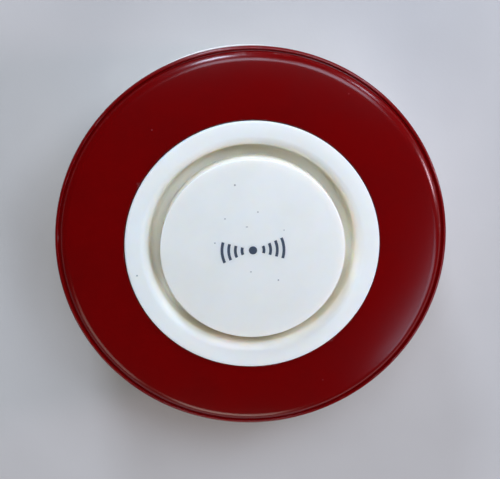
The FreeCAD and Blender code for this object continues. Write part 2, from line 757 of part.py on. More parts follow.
def build_main_board():
    """The round board on the housing's posts, with its screws and the parts that stand on it."""
    board = body("main_board")
    raised(board, "board_disc", BOARD_LOW, "board_thickness", circles=[("0", "0", BOARD_RADIUS)])
    holes = board_circles("board_screw_shank + head_gap")
    holes += [(f"{side} * pin_offset", "0", "pin_radius + pin_gap") for side in (-1, 1)]
    sunk(board, "board_holes", BOARD_LOW, "board_thickness", circles=holes)

    screws = []
    for index, (x, y) in enumerate(corners("board_screw_across", "board_screw_along")):
        head = cylinder(f"board_screw_cap_{index + 1}", "board_screw_head", "board_screw_head_height",
                        x, y, BOARD_TOP)
        shank = cylinder(f"board_screw_rod_{index + 1}", "board_screw_shank", "board_screw_length",
                         x, y, f"{BOARD_TOP} - board_screw_length")
        recess_low = f"{BOARD_TOP} + board_screw_head_height - drive_depth"
        screws.append(screw(f"board_screw_{index + 1}", [head, shank], "board_screw_head", x, y, recess_low))
    listed(group("board_screw_set", screws), "board_screws")

    leds = []
    for index in range(whole("led_count")):
        place = polar_place(LED_CIRCLE, f"{index} * 360 / led_count")
        foot = block(f"led_foot_{index + 1}", "led_side", "led_side", "led_base", *place, BOARD_TOP)
        lamp = cylinder(f"led_lamp_{index + 1}", "led_radius", "led_height", *place, BOARD_TOP)
        leds.append(fused(f"led_{index + 1}", [foot, lamp]))
    listed(group("led_set", leds), "flash_leds")

    place = polar_place("part_circle", "inductor_angle")
    cheek_top = f"{BOARD_TOP} + inductor_height - inductor_cheek"
    low_cheek = cylinder("inductor_low_cheek", "inductor_radius", "inductor_cheek", *place, BOARD_TOP)
    waist = cylinder("inductor_core", "inductor_waist", "inductor_height", *place, BOARD_TOP)
    high_cheek = cylinder("inductor_high_cheek", "inductor_radius", "inductor_cheek", *place, cheek_top)
    listed(fused("inductor_drum", [low_cheek, waist, high_cheek]), "inductor")
    place = polar_place("part_circle", "capacitor_angle")
    foot = block("capacitor_base", "capacitor_foot", "capacitor_foot", "capacitor_foot_height",
                 *place, BOARD_TOP)
    can = cylinder("capacitor_can", "capacitor_radius", "capacitor_height", *place, BOARD_TOP)
    listed(fused("capacitor_on_foot", [foot, can]), "capacitor")
    build_chip(*polar_place("part_circle", "chip_angle"))

    radio_y = "-part_circle"
    base = block("radio_base", "radio_length", "radio_width", "radio_board", "0", radio_y, BOARD_TOP)
    can = block("radio_shield", "radio_length - 4 * radio_margin", "radio_width - 2 * radio_margin",
                "radio_can", "0", radio_y, f"{BOARD_TOP} + radio_board")
    listed(fused("radio", [base, can]), "radio_module")

    wire = document.addObject("Part::Torus", "antenna_arc_wire")
    wire.setExpression("Radius1", bound("antenna_circle"))
    wire.setExpression("Radius2", bound("antenna_wire"))
    wire.setExpression("Angle3", bound("antenna_arc"))
    wire.setExpression("Placement.Rotation.Angle", bound("antenna_start"))
    moved(wire, z=f"{BOARD_TOP} + antenna_lift")
    foot = cylinder("antenna_foot", "antenna_wire", "antenna_lift",
                    *polar_place("antenna_circle", "(antenna_start + antenna_arc)"), BOARD_TOP)
    listed(fused("antenna_wire_bent", [wire, foot]), "antenna")


def build_chip(x, y):
    """The flat chip with a row of leads on each side and a dimple at its first one."""
    chip = body("controller_chip")
    half_side = "chip_side / 2"
    raised(chip, "chip_block", BOARD_TOP, "chip_height", [rectangle(half_side, half_side, x, y)])
    half_span, half_lead = f"{half_side} + lead_reach", "lead_width / 2"
    steps = [f"({index} - (lead_count - 1) / 2) * lead_pitch" for index in range(whole("lead_count"))]
    across = [rectangle(half_span, half_lead, x, f"{y} + {step}") for step in steps]
    along = [rectangle(half_lead, half_span, f"{x} + {step}", y) for step in steps]
    raised(chip, "leads_across", BOARD_TOP, "lead_thickness", across)
    raised(chip, "leads_along", BOARD_TOP, "lead_thickness", along)
    inset = f"{half_side} - chip_dot_inset"
    sunk(chip, "first_lead_dimple", f"{BOARD_TOP} + chip_height", "chip_dot_depth",
         circles=[(f"{x} - ({inset})", f"{y} - ({inset})", "chip_dot")], upwards=False)


def build_reflector():
    """The white dish round the flash lamps, open for them and for the lens posts."""
    flat = f"{BOARD_RADIUS} - reflector_margin"
    outer = f"{SPIGOT_INNER} - reflector_side_gap"
    dish = body("light_reflector")
    turned(dish, "dish", [
        (REFLECTOR_INNER, BOARD_TOP),
        (flat, BOARD_TOP),
        (outer, f"{BOARD_TOP} + reflector_rise"),
        (outer, f"{BOARD_TOP} + reflector_rise + reflector_skin"),
        (flat, f"{BOARD_TOP} + reflector_skin"),
        (f"{REFLECTOR_INNER} + reflector_skin", f"{BOARD_TOP} + reflector_skin"),
        (f"{REFLECTOR_INNER} + reflector_skin", f"{BOARD_TOP} + reflector_collar"),
        (REFLECTOR_INNER, f"{BOARD_TOP} + reflector_collar"),
    ])
    window = (LED_CIRCLE, "0", "reflector_window")
    around(dish, sunk(dish, "lamp_window", BOARD_TOP, "reflector_skin", circles=[window]), "led_count")
    spot = polar_place(CASE_SCREW_CIRCLE, "case_screw_angle")
    around(dish, sunk(dish, "post_hole", BOARD_TOP, "reflector_rise + reflector_skin",
                      circles=[(*spot, "case_post_radius + post_hole_gap")]), "case_screw_count")
    sunk(dish, "screw_head_holes", BOARD_TOP, "reflector_skin",
         circles=board_circles("board_screw_head + head_gap"))


def build_sounder():
    """The piezo sounder under the horn's throat: case, diaphragm, ceramic, clamp ring and pins."""
    seat = f"{PIEZO_BORE} - piezo_step"
    clamped = f"{PIEZO_BORE} - diaphragm_gap"
    case = body("piezo_case")
    turned(case, "case_cup", [
        ("0", PIEZO_LOW),
        ("piezo_radius", PIEZO_LOW),
        ("piezo_radius", HORN_FLOOR_LOW),
        (PIEZO_BORE, HORN_FLOOR_LOW),
        (PIEZO_BORE, f"{CLAMP_LOW} - diaphragm_thickness"),
        (seat, f"{CLAMP_LOW} - diaphragm_thickness"),
        (seat, f"{PIEZO_LOW} + piezo_floor"),
        ("0", f"{PIEZO_LOW} + piezo_floor"),
    ])
    plate = cylinder("diaphragm_disc", clamped, "diaphragm_thickness",
                     z=f"{CLAMP_LOW} - diaphragm_thickness")
    listed(plate, "piezo_diaphragm")
    ceramic = cylinder("ceramic_disc", "ceramic_radius", "ceramic_thickness",
                       z=f"{CLAMP_LOW} - diaphragm_thickness - ceramic_thickness")
    listed(ceramic, "piezo_ceramic")
    outer = cylinder("clamp_outer", clamped, "clamp_depth", z=CLAMP_LOW)
    inner = cylinder("clamp_inner", f"{clamped} - clamp_width", "clamp_depth", z=CLAMP_LOW)
    listed(cut("clamp_ring", outer, inner), "diaphragm_gasket")
    pins = [cylinder(f"sounder_pin_{name}", "pin_radius", f"{PIEZO_LOW} - {BOARD_LOW} + pin_tail",
                     f"{side} * pin_offset", "0", f"{BOARD_LOW} - pin_tail")
            for name, side in (("left", -1), ("right", 1))]
    listed(group("sounder_pins", pins), "piezo_pins")


def build_front_horn():
    """The white horn: flat ring, rolled mouth, bowl with a throat, and a collar for the sounder."""
    horn = body("front_horn")
    collar_inner = "piezo_radius + piezo_gap"
    collar_outer = f"{collar_inner} + collar_wall"
    collar_low = f"{HORN_FLOOR_LOW} - collar_depth"
    foot_radius = f"{MOUTH_RADIUS} - mouth_draft"
    turned(horn, "horn_bowl", [
        ("throat_radius", HORN_FLOOR_LOW),
        (collar_inner, HORN_FLOOR_LOW),
        (collar_inner, collar_low),
        (collar_outer, collar_low),
        (collar_outer, HORN_FLOOR_LOW),
        (f"{HORN_OUTER} - horn_fillet", HORN_FLOOR_LOW, "horn_fillet", 1),
        (HORN_OUTER, f"{HORN_FLOOR_LOW} + horn_fillet"),
        (HORN_OUTER, LEDGE_TOP),
        ("horn_radius", LEDGE_TOP),
        ("horn_radius", f"{RING_TOP} - flange_edge_round", "flange_edge_round", 1),
        ("horn_radius - flange_edge_round", RING_TOP),
        (f"{MOUTH_RADIUS} + mouth_round", MOUTH_TOP, "mouth_round", 1),
        (MOUTH_RADIUS, f"{MOUTH_TOP} - mouth_round"),
        (foot_radius, f"{HORN_FLOOR_TOP} + horn_fillet", "horn_fillet", -1),
        (f"{foot_radius} - horn_fillet", HORN_FLOOR_TOP),
        ("throat_radius", HORN_FLOOR_TOP),
    ])
    bars = [("throat_radius + throat_bar_width", "throat_bar_width / 2"),
            ("throat_bar_width / 2", "throat_radius + throat_bar_width")]
    for index, (half_x, half_y) in enumerate(bars):
        raised(horn, f"throat_bar_{index + 1}", HORN_FLOOR_LOW, "horn_floor", [rectangle(half_x, half_y)])
    snap_low = f"{LEDGE_LOW} - snap_gap - snap_height"
    snap = ring_sector(f"{HORN_OUTER} - horn_wall / 2", f"{HORN_OUTER} + snap_reach",
                       "-snap_arc / 2", "snap_arc / 2")
    around(horn, raised(horn, "snap_hook", snap_low, "snap_height", [snap]), "snap_count")
    socket = (*polar_place("leg_circle", "leg_angle"), "peg_radius + peg_gap")
    around(horn, sunk(horn, "peg_socket", HORN_FLOOR_TOP, "peg_length + peg_gap", circles=[socket],
                      upwards=False), "leg_count")


def build_deflector_disc():
    """The raised disc in the horn's mouth: a shallow cap on four legs, open all round below."""
    disc = body("deflector_disc")
    turned(disc, "disc_cap", [
        ("0", f"{DISC_TOP} - disc_thickness"),
        (f"{DISC_RADIUS} - disc_wall", f"{DISC_TOP} - disc_thickness"),
        (f"{DISC_RADIUS} - disc_wall", f"{DISC_TOP} - disc_skirt"),
        (DISC_RADIUS, f"{DISC_TOP} - disc_skirt"),
        (DISC_RADIUS, f"{DISC_TOP} - disc_edge", "disc_edge", 1),
        (f"{DISC_RADIUS} - disc_edge", DISC_TOP),
        ("0", DISC_TOP),
    ])
    rings = [("0", "0", "disc_rib_radius"), ("0", "0", "disc_rib_radius - disc_rib_width")]
    raised(disc, "stiffening_ring", f"{DISC_TOP} - disc_thickness - disc_rib_depth",
           "disc_rib_depth + disc_thickness / 2", circles=rings)
    spot = polar_place("leg_circle", "leg_angle")
    leg_height = f"{DISC_TOP} - disc_thickness / 2 - {HORN_FLOOR_TOP}"
    around(disc, raised(disc, "leg", HORN_FLOOR_TOP, leg_height,
                        circles=[(*spot, "leg_radius")]), "leg_count")
    around(disc, raised(disc, "peg", f"{HORN_FLOOR_TOP} - peg_length", "2 * peg_length",
                        circles=[(*spot, "peg_radius")]), "leg_count")


def build_lens():
    """The red ring lens: domed top, rounded shoulder, raised lip, skirt and four screw posts."""
    lens = body("siren_lens")
    dome_top = "lip_height + dome_rise"
    shoulder_top = f"{dome_top} - dome_fall"
    crest = "lens_radius - lip_round"
    shoulder_foot = f"{crest} - groove_width - groove_width / 2"
    shoulder_start = f"{shoulder_foot} - shoulder_width"
    turned(lens, "lens_ring", [
        (LEDGE_INNER, LEDGE_LOW),
        (LEDGE_INNER, LEDGE_TOP),
        (RING_SEAT, LEDGE_TOP),
        (RING_SEAT, dome_top, "dome_curve", -1),
        (shoulder_start, shoulder_top, "shoulder_curve", -1),
        (shoulder_foot, "lip_height - lip_groove + shoulder_toe"),
        (f"{crest} - groove_width", "lip_height - lip_groove"),
        (crest, "lip_height", "lip_round", -1),
        ("lens_radius", "lip_height - lip_round"),
        ("lens_radius - skirt_taper", SKIRT_LOW),
        (LENS_INNER, SKIRT_LOW),
        (LENS_INNER, "lip_height - lip_groove - lens_wall"),
        (shoulder_start, f"{shoulder_top} - lens_wall"),
        (f"{RING_SEAT} + lens_wall", f"{dome_top} - lens_wall"),
        (f"{RING_SEAT} + lens_wall / 2", LEDGE_LOW),
    ])
    spot = polar_place(CASE_SCREW_CIRCLE, "case_screw_angle")
    post_height = f"{shoulder_top} - lens_wall / 2 - case_boss_top"
    around(lens, raised(lens, "screw_post", "case_boss_top", post_height,
                        circles=[(*spot, "case_post_radius")]), "case_screw_count")
    around(lens, sunk(lens, "screw_post_bore", "case_boss_top", "case_screw_length",
                      circles=[(*spot, "case_screw_shank + screw_gap")]), "case_screw_count")


def build_case_screws():
    """The screws that hold the lens to the housing, set deep in wells in the back."""
    screws = []
    for index in range(whole("case_screw_count")):
        place = polar_place(CASE_SCREW_CIRCLE, f"(case_screw_angle + {index} * 360 / case_screw_count)")
        head = cylinder(f"case_screw_cap_{index + 1}", "case_screw_head", "case_screw_head_height",
                        *place, f"{CASE_HEAD_TOP} - case_screw_head_height")
        shank = cylinder(f"case_screw_rod_{index + 1}", "case_screw_shank", "case_screw_length",
                         *place, CASE_HEAD_TOP)
        recess_low = f"{CASE_HEAD_TOP} - case_screw_head_height"
        screws.append(screw(f"case_screw_{index + 1}", [head, shank], "case_screw_head", *place, recess_low))
    listed(group("case_screw_set", screws), "housing_screws")


def build_controls():
    """The tamper plunger with its spring, the link button, and the two switches they press."""
    for label, x in (("tamper_switch", "control_offset"), ("link_switch", "-control_offset")):
        switch = body(label)
        half_side = "switch_side / 2"
        raised(switch, f"{label}_block", SWITCH_LOW, "switch_height",
               [rectangle(half_side, half_side, x, "0")])
        legs = [rectangle(f"{half_side} + switch_leg_reach", "switch_leg_width / 2", x,
                          f"{side} * switch_leg_spread / 2") for side in (-1, 1)]
        raised(switch, f"{label}_legs", f"{BOARD_LOW} - switch_leg_thickness", "switch_leg_thickness", legs)

    x = "control_offset"
    guide_top = f"{FLOOR_TOP} + plunger_guide"
    collar_low = f"({guide_top} + plunger_stop)"
    collar_top = f"({collar_low} + plunger_collar_height)"
    pin_top = f"({SWITCH_LOW} - plunger_travel - plunger_end_gap)"
    rod = cylinder("plunger_rod", "plunger_radius", f"{collar_low} - {HOUSING_BACK}", x, "0", HOUSING_BACK)
    collar = cylinder("plunger_collar_disc", "plunger_collar", "plunger_collar_height", x, "0", collar_low)
    pin = cylinder("plunger_pin_rod", "plunger_pin", f"{pin_top} - {collar_top}", x, "0", collar_top)
    listed(fused("plunger", [rod, collar, pin]), "tamper_plunger")
    space = f"{SWITCH_LOW} - {collar_top}"
    spring = coil("tamper_coil_wire", "tamper_coil", space, "tamper_turns", "tamper_wire")
    listed(moved(spring, x, "0", collar_top), "tamper_spring")

    flange_low = f"({FLOOR_TOP} + button_guide + button_seat_gap)"
    flange_top = f"({flange_low} + button_flange_height)"
    stem_top = f"({SWITCH_LOW} - button_travel - plunger_end_gap)"
    x = "-control_offset"
    cap = cylinder("button_cap", "button_radius", f"{flange_low} - {HOUSING_BACK}", x, "0", HOUSING_BACK)
    flange = cylinder("button_flange_disc", "button_flange", "button_flange_height", x, "0", flange_low)
    stem = cylinder("button_stem_rod", "button_stem", f"{stem_top} - {flange_top}", x, "0", flange_top)
    listed(fused("button", [cap, flange, stem]), "link_button")


def write_parts():
    """Check every object and sub-part, then write one file for each sub-part."""
    document.recompute()
    for item in document.Objects:
        if any(word in state for state in item.State for word in ("Invalid", "Error")):
            raise RuntimeError(f"{item.Label} could not be built: {item.State}")
    for piece in sub_parts:
        if piece.Shape.isNull() or not piece.Shape.isValid():
            raise RuntimeError(f"{piece.Label} has no valid shape")
    os.makedirs("parts", exist_ok=True)
    for piece in sub_parts:
        piece.Shape.exportStep(f"parts/{piece.Label}.step")
        print(f"{piece.Label}: {len(piece.Shape.Solids)} solid(s), {piece.Shape.Volume:.1f} mm3")


build_mounting_plate()
build_rear_housing()
build_battery_cover()
build_cells()
build_main_board()
build_reflector()
build_sounder()
build_front_horn()
build_deflector_disc()
build_lens()
build_case_screws()
build_controls()
write_parts()
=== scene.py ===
"""Looks of a round indoor alarm siren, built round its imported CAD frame.

A red flash ring surrounds a white horn with a raised disc in its mouth. Each sub-assembly is a class that
takes its sizes from the frame, builds its meshes with bmesh operators and dresses them and the CAD nodes.
Lengths are in millimetres and angles in degrees, unless something else is said.
"""

import logging
import math
from collections.abc import Iterable, Sequence
from dataclasses import dataclass, replace
from enum import Enum
from functools import cached_property
from itertools import product, zip_longest
from typing import ClassVar

import bmesh
import bpy
from mathutils import Matrix, Vector

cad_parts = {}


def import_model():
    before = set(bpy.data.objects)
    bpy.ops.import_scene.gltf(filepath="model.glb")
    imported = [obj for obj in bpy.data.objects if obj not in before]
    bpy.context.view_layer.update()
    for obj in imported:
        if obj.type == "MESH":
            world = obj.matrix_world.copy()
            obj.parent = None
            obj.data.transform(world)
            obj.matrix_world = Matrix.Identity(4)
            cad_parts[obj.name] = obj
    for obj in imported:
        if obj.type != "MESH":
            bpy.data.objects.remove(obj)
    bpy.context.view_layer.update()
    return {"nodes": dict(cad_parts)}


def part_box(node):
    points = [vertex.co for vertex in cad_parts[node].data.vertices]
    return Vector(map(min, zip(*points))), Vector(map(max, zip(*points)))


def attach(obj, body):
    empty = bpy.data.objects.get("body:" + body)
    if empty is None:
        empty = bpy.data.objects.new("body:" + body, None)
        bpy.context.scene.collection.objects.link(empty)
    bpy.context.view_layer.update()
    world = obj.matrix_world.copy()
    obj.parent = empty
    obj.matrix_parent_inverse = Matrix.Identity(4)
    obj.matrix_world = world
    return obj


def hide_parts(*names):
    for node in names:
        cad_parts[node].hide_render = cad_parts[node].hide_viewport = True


Socket = bpy.types.NodeSocket
Tree = bpy.types.NodeTree
Pair = tuple[float, float]
Triple = tuple[float, float, float]
log = logging.getLogger("siren")

# One millimetre in the scene's metres, and the distance in metres within which points are one.
MM = 0.001
TOUCHING = 1e-7
FULL_TURN = 360.0
QUARTER_TURN = 90
QUARTERS = 4
BOTH_WAYS = (-1, 1)
# The depth of the printed mark, and how far large and small shapes run into their neighbours.
PRINT = 0.02
SUNK = 0.4
OVERLAP = 0.1
# Edges that bend less than this are shaded smooth.
SMOOTH_BELOW = 32.0
# The Pointiness from which a bent edge counts as worn, just above that of a flat face.
FLAT = 0.51
# The Tones between which a skin's two colours mix, and how much the Tone changes the roughness.
PATCHES = (0.35, 0.7)
UNEVEN = 0.08
# How strongly a mark shows, and how much rougher a scuff is.
MARK_STRENGTH = 0.75
SCUFF_ROUGHNESS = 0.25


class Carrier(Enum):
    """The CAD bodies that the new pieces ride on."""

    SIREN = "siren"
    TAMPER = "tamper"
    BUTTON = "button"


class Slot(Enum):
    """The material slots of the record, which each new piece is given but nothing reads."""

    WHITE = "white_abs"
    RED = "red_lens"
    CELL = "cell_jacket"
    BLACK = "black_plastic"
    TIN = "shield_tin"
    RESIN = "lamp_resin"


@dataclass(frozen=True)
class Colour:
    """A colour as it is seen on a screen, each channel from 0 to 255."""

    red: float
    green: float
    blue: float

    def linear(self) -> tuple[float, float, float, float]:
        """The colour as a shader's socket takes it."""
        shares = [channel / 255 for channel in (self.red, self.green, self.blue)]
        bent = [s / 12.92 if s <= 0.04045 else ((s + 0.055) / 1.055) ** 2.4 for s in shares]
        return (*bent, 1.0)


@dataclass(frozen=True)
class Room:
    """The room that a CAD node takes at rest."""

    low: Vector
    high: Vector

    @classmethod
    def of(cls, node: str) -> "Room":
        """The room of a node of the frame."""
        low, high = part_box(node)
        return cls(low / MM, high / MM)

    @property
    def reach(self) -> float:
        """Half of the node's width."""
        return (self.high.x - self.low.x) / 2

    @property
    def middle(self) -> Vector:
        """The middle of the node's room."""
        return (self.low + self.high) / 2

    @property
    def centre(self) -> Pair:
        """The middle of the node's room, seen from above."""
        return self.middle.x, self.middle.y

    @property
    def levels(self) -> Pair:
        """The heights of the node's foot and top."""
        return self.low.z, self.high.z


class Wiring:
    """Adds nodes to a material's, world's or group's tree and links them."""

    def __init__(self, tree: Tree) -> None:
        """Take over an empty tree."""
        self.tree = tree

    @classmethod
    def group(cls, name: str, **inputs: float) -> tuple["Wiring", bpy.types.NodeOutputs, Socket]:
        """Start a node group.

        Args:
            name: The group's name.
            inputs: Its number inputs, with their defaults.

        Returns:
            Its wiring, what its inputs bring and the shaded point.
        """
        wiring = cls(bpy.data.node_groups.new(name, "ShaderNodeTree"))
        for label, value in inputs.items():
            wiring.port(label, "INPUT").default_value = value
        return wiring, wiring.tree.nodes.new("NodeGroupInput").outputs, wiring.place()

    def port(self, label: str, way: str) -> bpy.types.NodeTreeInterfaceSocket:
        """Add a number input or output to the group."""
        return self.tree.interface.new_socket(label, in_out=way, socket_type="NodeSocketFloat")

    def end(self, **outputs: Socket) -> Tree:
        """Give the group its outputs.

        Args:
            outputs: What feeds each output, by name.

        Returns:
            The finished group.
        """
        for label in outputs:
            self.port(label, "OUTPUT")
        sink = self.tree.nodes.new("NodeGroupOutput").inputs
        for label, value in outputs.items():
            self.feed(sink[label], value)
        return self.tree

    def feed(self, socket: Socket, value: object) -> None:
        """Give an input what it needs.

        Args:
            socket: The input.
            value: An output to link, a colour or a plain value.
        """
        if isinstance(value, Socket):
            self.tree.links.new(value, socket)
        else:
            socket.default_value = value.linear() if isinstance(value, Colour) else value

    def add(self, kind: str, feeds: dict | None = None, **settings: object) -> bpy.types.Node:
        """Add one node.

        Args:
            kind: The node's type name, without its ShaderNode start.
            feeds: What each input gets.
            settings: The node's own properties.

        Returns:
            The new node.
        """
        node = self.tree.nodes.new(f"ShaderNode{kind}")
        for name, value in settings.items():
            setattr(node, name, value)
        for socket, value in (feeds or {}).items():
            self.feed(node.inputs[socket], value)
        return node

    def place(self) -> Socket:
        """The shaded point in the piece's own coordinates."""
        return self.add("TexCoord").outputs["Object"]

    def maths(self, operation: str, *values: object) -> Socket:
        """Join plain numbers or outputs with one Math node."""
        return self.add("Math", dict(enumerate(values)), operation=operation).outputs[0]

    def times(self, *values: object) -> Socket:
        """Multiply plain numbers or outputs."""
        return self.maths("MULTIPLY", *values)

    def ramp(self, value: Socket, start: object, end: object) -> Socket:
        """Turn a value from start to end into one from 0 to 1, smoothly."""
        feeds = {"Value": value, "From Min": start, "From Max": end}
        return self.add("MapRange", feeds, interpolation_type="SMOOTHSTEP").outputs[0]

    def blend(self, share: object, below: object, above: object) -> Socket:
        """Lay a colour over another one, by the share that shows."""
        return self.add("Mix", {0: share, 6: below, 7: above}, data_type="RGBA").outputs[2]

    def noise(self, place: object, scale: object, detail: float, bend: float = 0.0) -> Socket:
        """A noise of a scale and detail, bent by a distortion."""
        feeds = {"Vector": place, "Scale": scale, "Detail": detail, "Distortion": bend}
        return self.add("TexNoise", feeds).outputs[0]

    def effect(self, group: Tree, **values: float) -> bpy.types.NodeOutputs:
        """Place a shared effect.

        Args:
            group: The effect's node group.
            values: The group's inputs for this finish, by name.

        Returns:
            What the effect gives.
        """
        feeds = {label.capitalize(): value for label, value in values.items()}
        return self.add("Group", feeds, node_tree=group).outputs

    def bump(self, height: object, depth: float, strength: float) -> Socket:
        """The normal of a relief of that depth."""
        feeds = {"Height": height, "Distance": depth * MM, "Strength": strength}
        return self.add("Bump", feeds).outputs[0]


class Effects:
    """The node groups that several finishes share, each built once."""

    @cached_property
    def grain(self) -> Tree:
        """The fine relief of a moulded skin: Height for a bump, Tone for slow changes."""
        wiring, source, place = Wiring.group("moulded_grain", Scale=3000.0)
        slow = wiring.maths("DIVIDE", source["Scale"], 60.0)
        fine = wiring.noise(place, source["Scale"], 3.0)
        return wiring.end(Height=fine, Tone=wiring.noise(place, slow, 4.0))

    @cached_property
    def dust(self) -> Tree:
        """Sparse specks on faces that look up, as a Mask."""
        wiring, source, place = Wiring.group("dust_specks", Scale=500.0, Share=0.1, Size=0.2)
        cells = wiring.add("TexVoronoi", {"Vector": place, "Scale": source["Scale"]}).outputs
        luck = wiring.add("SeparateColor", {0: cells["Color"]}).outputs
        size = wiring.times(source["Size"], luck[1])
        spot = wiring.ramp(cells["Distance"], size, wiring.times(size, 0.6))
        chosen = wiring.maths("LESS_THAN", luck[0], source["Share"])
        normal = wiring.add("SeparateXYZ", {0: wiring.add("NewGeometry").outputs["Normal"]})
        upward = wiring.ramp(normal.outputs[2], 0.3, 0.7)
        return wiring.end(Mask=wiring.times(wiring.times(spot, chosen), upward))

    @cached_property
    def wear(self) -> Tree:
        """Rubbed outer edges, broken up by noise, as a Mask."""
        wiring, source, place = Wiring.group("edge_wear", Reach=0.06, Scale=400.0)
        point = wiring.add("NewGeometry").outputs["Pointiness"]
        edge = wiring.ramp(point, FLAT, wiring.maths("ADD", source["Reach"], FLAT))
        patchy = wiring.ramp(wiring.noise(place, source["Scale"], 4.0), 0.4, 0.65)
        return wiring.end(Mask=wiring.times(edge, patchy))

    @cached_property
    def scuffs(self) -> Tree:
        """Fine hair scratches in two directions, as a Mask."""
        wiring, source, place = Wiring.group("hair_scuffs", Scale=60.0, Share=0.5)
        layers = []
        for angle in (0.5, 2.1):
            turned = {"Vector": place, "Rotation": (0.0, 0.0, angle), "Scale": (1.0, 14.0, 1.0)}
            hairs = wiring.noise(wiring.add("Mapping", turned).outputs[0], source["Scale"], 6.0, 0.4)
            layers.append(wiring.ramp(hairs, 0.70, 0.74))
        either = wiring.maths("MAXIMUM", *layers)
        return wiring.end(Mask=wiring.times(either, source["Share"]))

    @cached_property
    def film(self) -> Tree:
        """Painted warm shade: a warm tint for the bounced light deep in a recess, growing from the level
        High down to the level Low, as a Mask.
        """
        wiring, source, place = Wiring.group("painted_warm_shade", High=0.0386, Low=0.035)
        level = wiring.add("SeparateXYZ", {0: place}).outputs[2]
        return wiring.end(Mask=wiring.ramp(level, source["High"], source["Low"]))

    @cached_property
    def spot(self) -> Tree:
        """One small mark at a place on the piece, as a Mask. Reach is its radius."""
        wiring, source, place = Wiring.group("small_mark", X=0.0, Y=0.0, Reach=0.0003, Stretch=1.0)
        point = wiring.add("SeparateXYZ", {0: place}).outputs
        aside = wiring.maths("SUBTRACT", point[0], source["X"])
        along = wiring.maths("SUBTRACT", point[1], source["Y"])
        slim = wiring.times(along, source["Stretch"])
        squares = [wiring.times(side, side) for side in (aside, slim)]
        distance = wiring.maths("SQRT", wiring.maths("ADD", *squares))
        inner = wiring.times(source["Reach"], 0.4)
        return wiring.end(Mask=wiring.ramp(distance, source["Reach"], inner))


EFFECTS = Effects()


@dataclass(frozen=True)
class Mark:
    """A speck or scuff that the photograph shows, placed from the siren's axis."""

    x: float
    y: float
    reach: float
    stretch: float = 1.0


class Finish:
    """A finish makes one material, once, and hands it to each piece that wears it."""

    name: str

    def shader(self, wiring: Wiring) -> bpy.types.Node:
        """Build the nodes that feed the material's surface and return its shader."""
        raise NotImplementedError

    @cached_property
    def material(self) -> bpy.types.Material:
        """The finish's material, made at its first use.

        Returns:
            The material.
        """
        material = bpy.data.materials.new(f"{self.name}_finish")
        material.use_nodes = True
        material.node_tree.nodes.clear()
        wiring = Wiring(material.node_tree)
        wiring.add("OutputMaterial", {"Surface": self.shader(wiring).outputs[0]})
        return material


@dataclass(frozen=True)
class Moulded(Finish):
    """A moulded plastic, rubber, ceramic or resin skin.

    tone is the colour of its other patches, relief the depth of its grain, film the levels between which
    painted warm shade grows (a warm tint for the bounced light deep in a recess), and dust, wear and scuff
    say how much of each effect shows.
    """

    name: str
    colour: Colour
    tone: Colour
    roughness: float
    grain: float
    relief: float
    dust: float = 0.0
    dust_colour: Colour = Colour(120, 116, 110)
    wear: float = 0.0
    rubbed: Colour = Colour(235, 233, 228)
    scuff: float = 0.0
    coat: float = 0.0
    coat_roughness: float = 0.2
    gloss: float = 0.5
    subsurface: float = 0.0
    subsurface_reach: float = 1.0
    # film and its colour are painted warm shade: a warm tint below a level, for the bounced light in the
    # groove.
    film: Pair | None = None
    painted_warm_shade_colour: Colour = Colour(253, 243, 222)
    marks: tuple[Mark, ...] = ()
    mark_colour: Colour = Colour(110, 108, 106)

    def shader(self, wiring: Wiring) -> bpy.types.Node:
        """Build the skin's nodes.

        Args:
            wiring: The material's wiring.

        Returns:
            The shader node.
        """
        grain = wiring.effect(EFFECTS.grain, scale=self.grain)
        colour = wiring.blend(wiring.ramp(grain["Tone"], *PATCHES), self.colour, self.tone)
        # Painted warm shade: the film colour is blended in below a level, for the bounced light deep in the
        # groove.
        if self.film:
            high, low = self.film
            film = wiring.effect(EFFECTS.film, high=high * MM, low=low * MM)
            colour = wiring.blend(film[0], colour, self.painted_warm_shade_colour)
        if self.dust:
            dust = wiring.effect(EFFECTS.dust, share=self.dust)
            colour = wiring.blend(dust[0], colour, self.dust_colour)
        if self.wear:
            rubbed = wiring.times(wiring.effect(EFFECTS.wear)[0], self.wear)
            colour = wiring.blend(rubbed, colour, self.rubbed)
        for mark in self.marks:
            spot = wiring.effect(EFFECTS.spot, x=mark.x * MM, y=mark.y * MM, reach=mark.reach * MM,
                                 stretch=mark.stretch)
            colour = wiring.blend(wiring.times(spot[0], MARK_STRENGTH), colour, self.mark_colour)
        roughness = wiring.maths("MULTIPLY_ADD", grain["Tone"], UNEVEN, self.roughness - UNEVEN / 2)
        if self.scuff:
            scuffs = wiring.effect(EFFECTS.scuffs, share=self.scuff)[0]
            roughness = wiring.maths("MULTIPLY_ADD", scuffs, SCUFF_ROUGHNESS, roughness)
        return wiring.add("BsdfPrincipled", {
            "Base Color": colour, "Roughness": roughness, "Specular IOR Level": self.gloss,
            "Normal": wiring.bump(grain["Height"], self.relief, 1.0),
            "Coat Weight": self.coat, "Coat Roughness": self.coat_roughness,
            "Subsurface Weight": self.subsurface, "Subsurface Scale": self.subsurface_reach * MM,
            "Subsurface Radius": (1.0, 0.8, 0.6)})


@dataclass(frozen=True)
class Card(Moulded):
    """A matt studio card that shows only from above and lets light from below pass."""

    def shader(self, wiring: Wiring) -> bpy.types.Node:
        """Build the card's nodes.

        Args:
            wiring: The material's wiring.

        Returns:
            The shader node.
        """
        shader = super().shader(wiring)
        behind = wiring.add("NewGeometry").outputs["Backfacing"]
        shadow = wiring.add("LightPath").outputs["Is Shadow Ray"]
        clear = wiring.maths("MAXIMUM", behind, shadow)
        wiring.feed(shader.inputs["Alpha"], wiring.maths("SUBTRACT", 1.0, clear))
        return shader


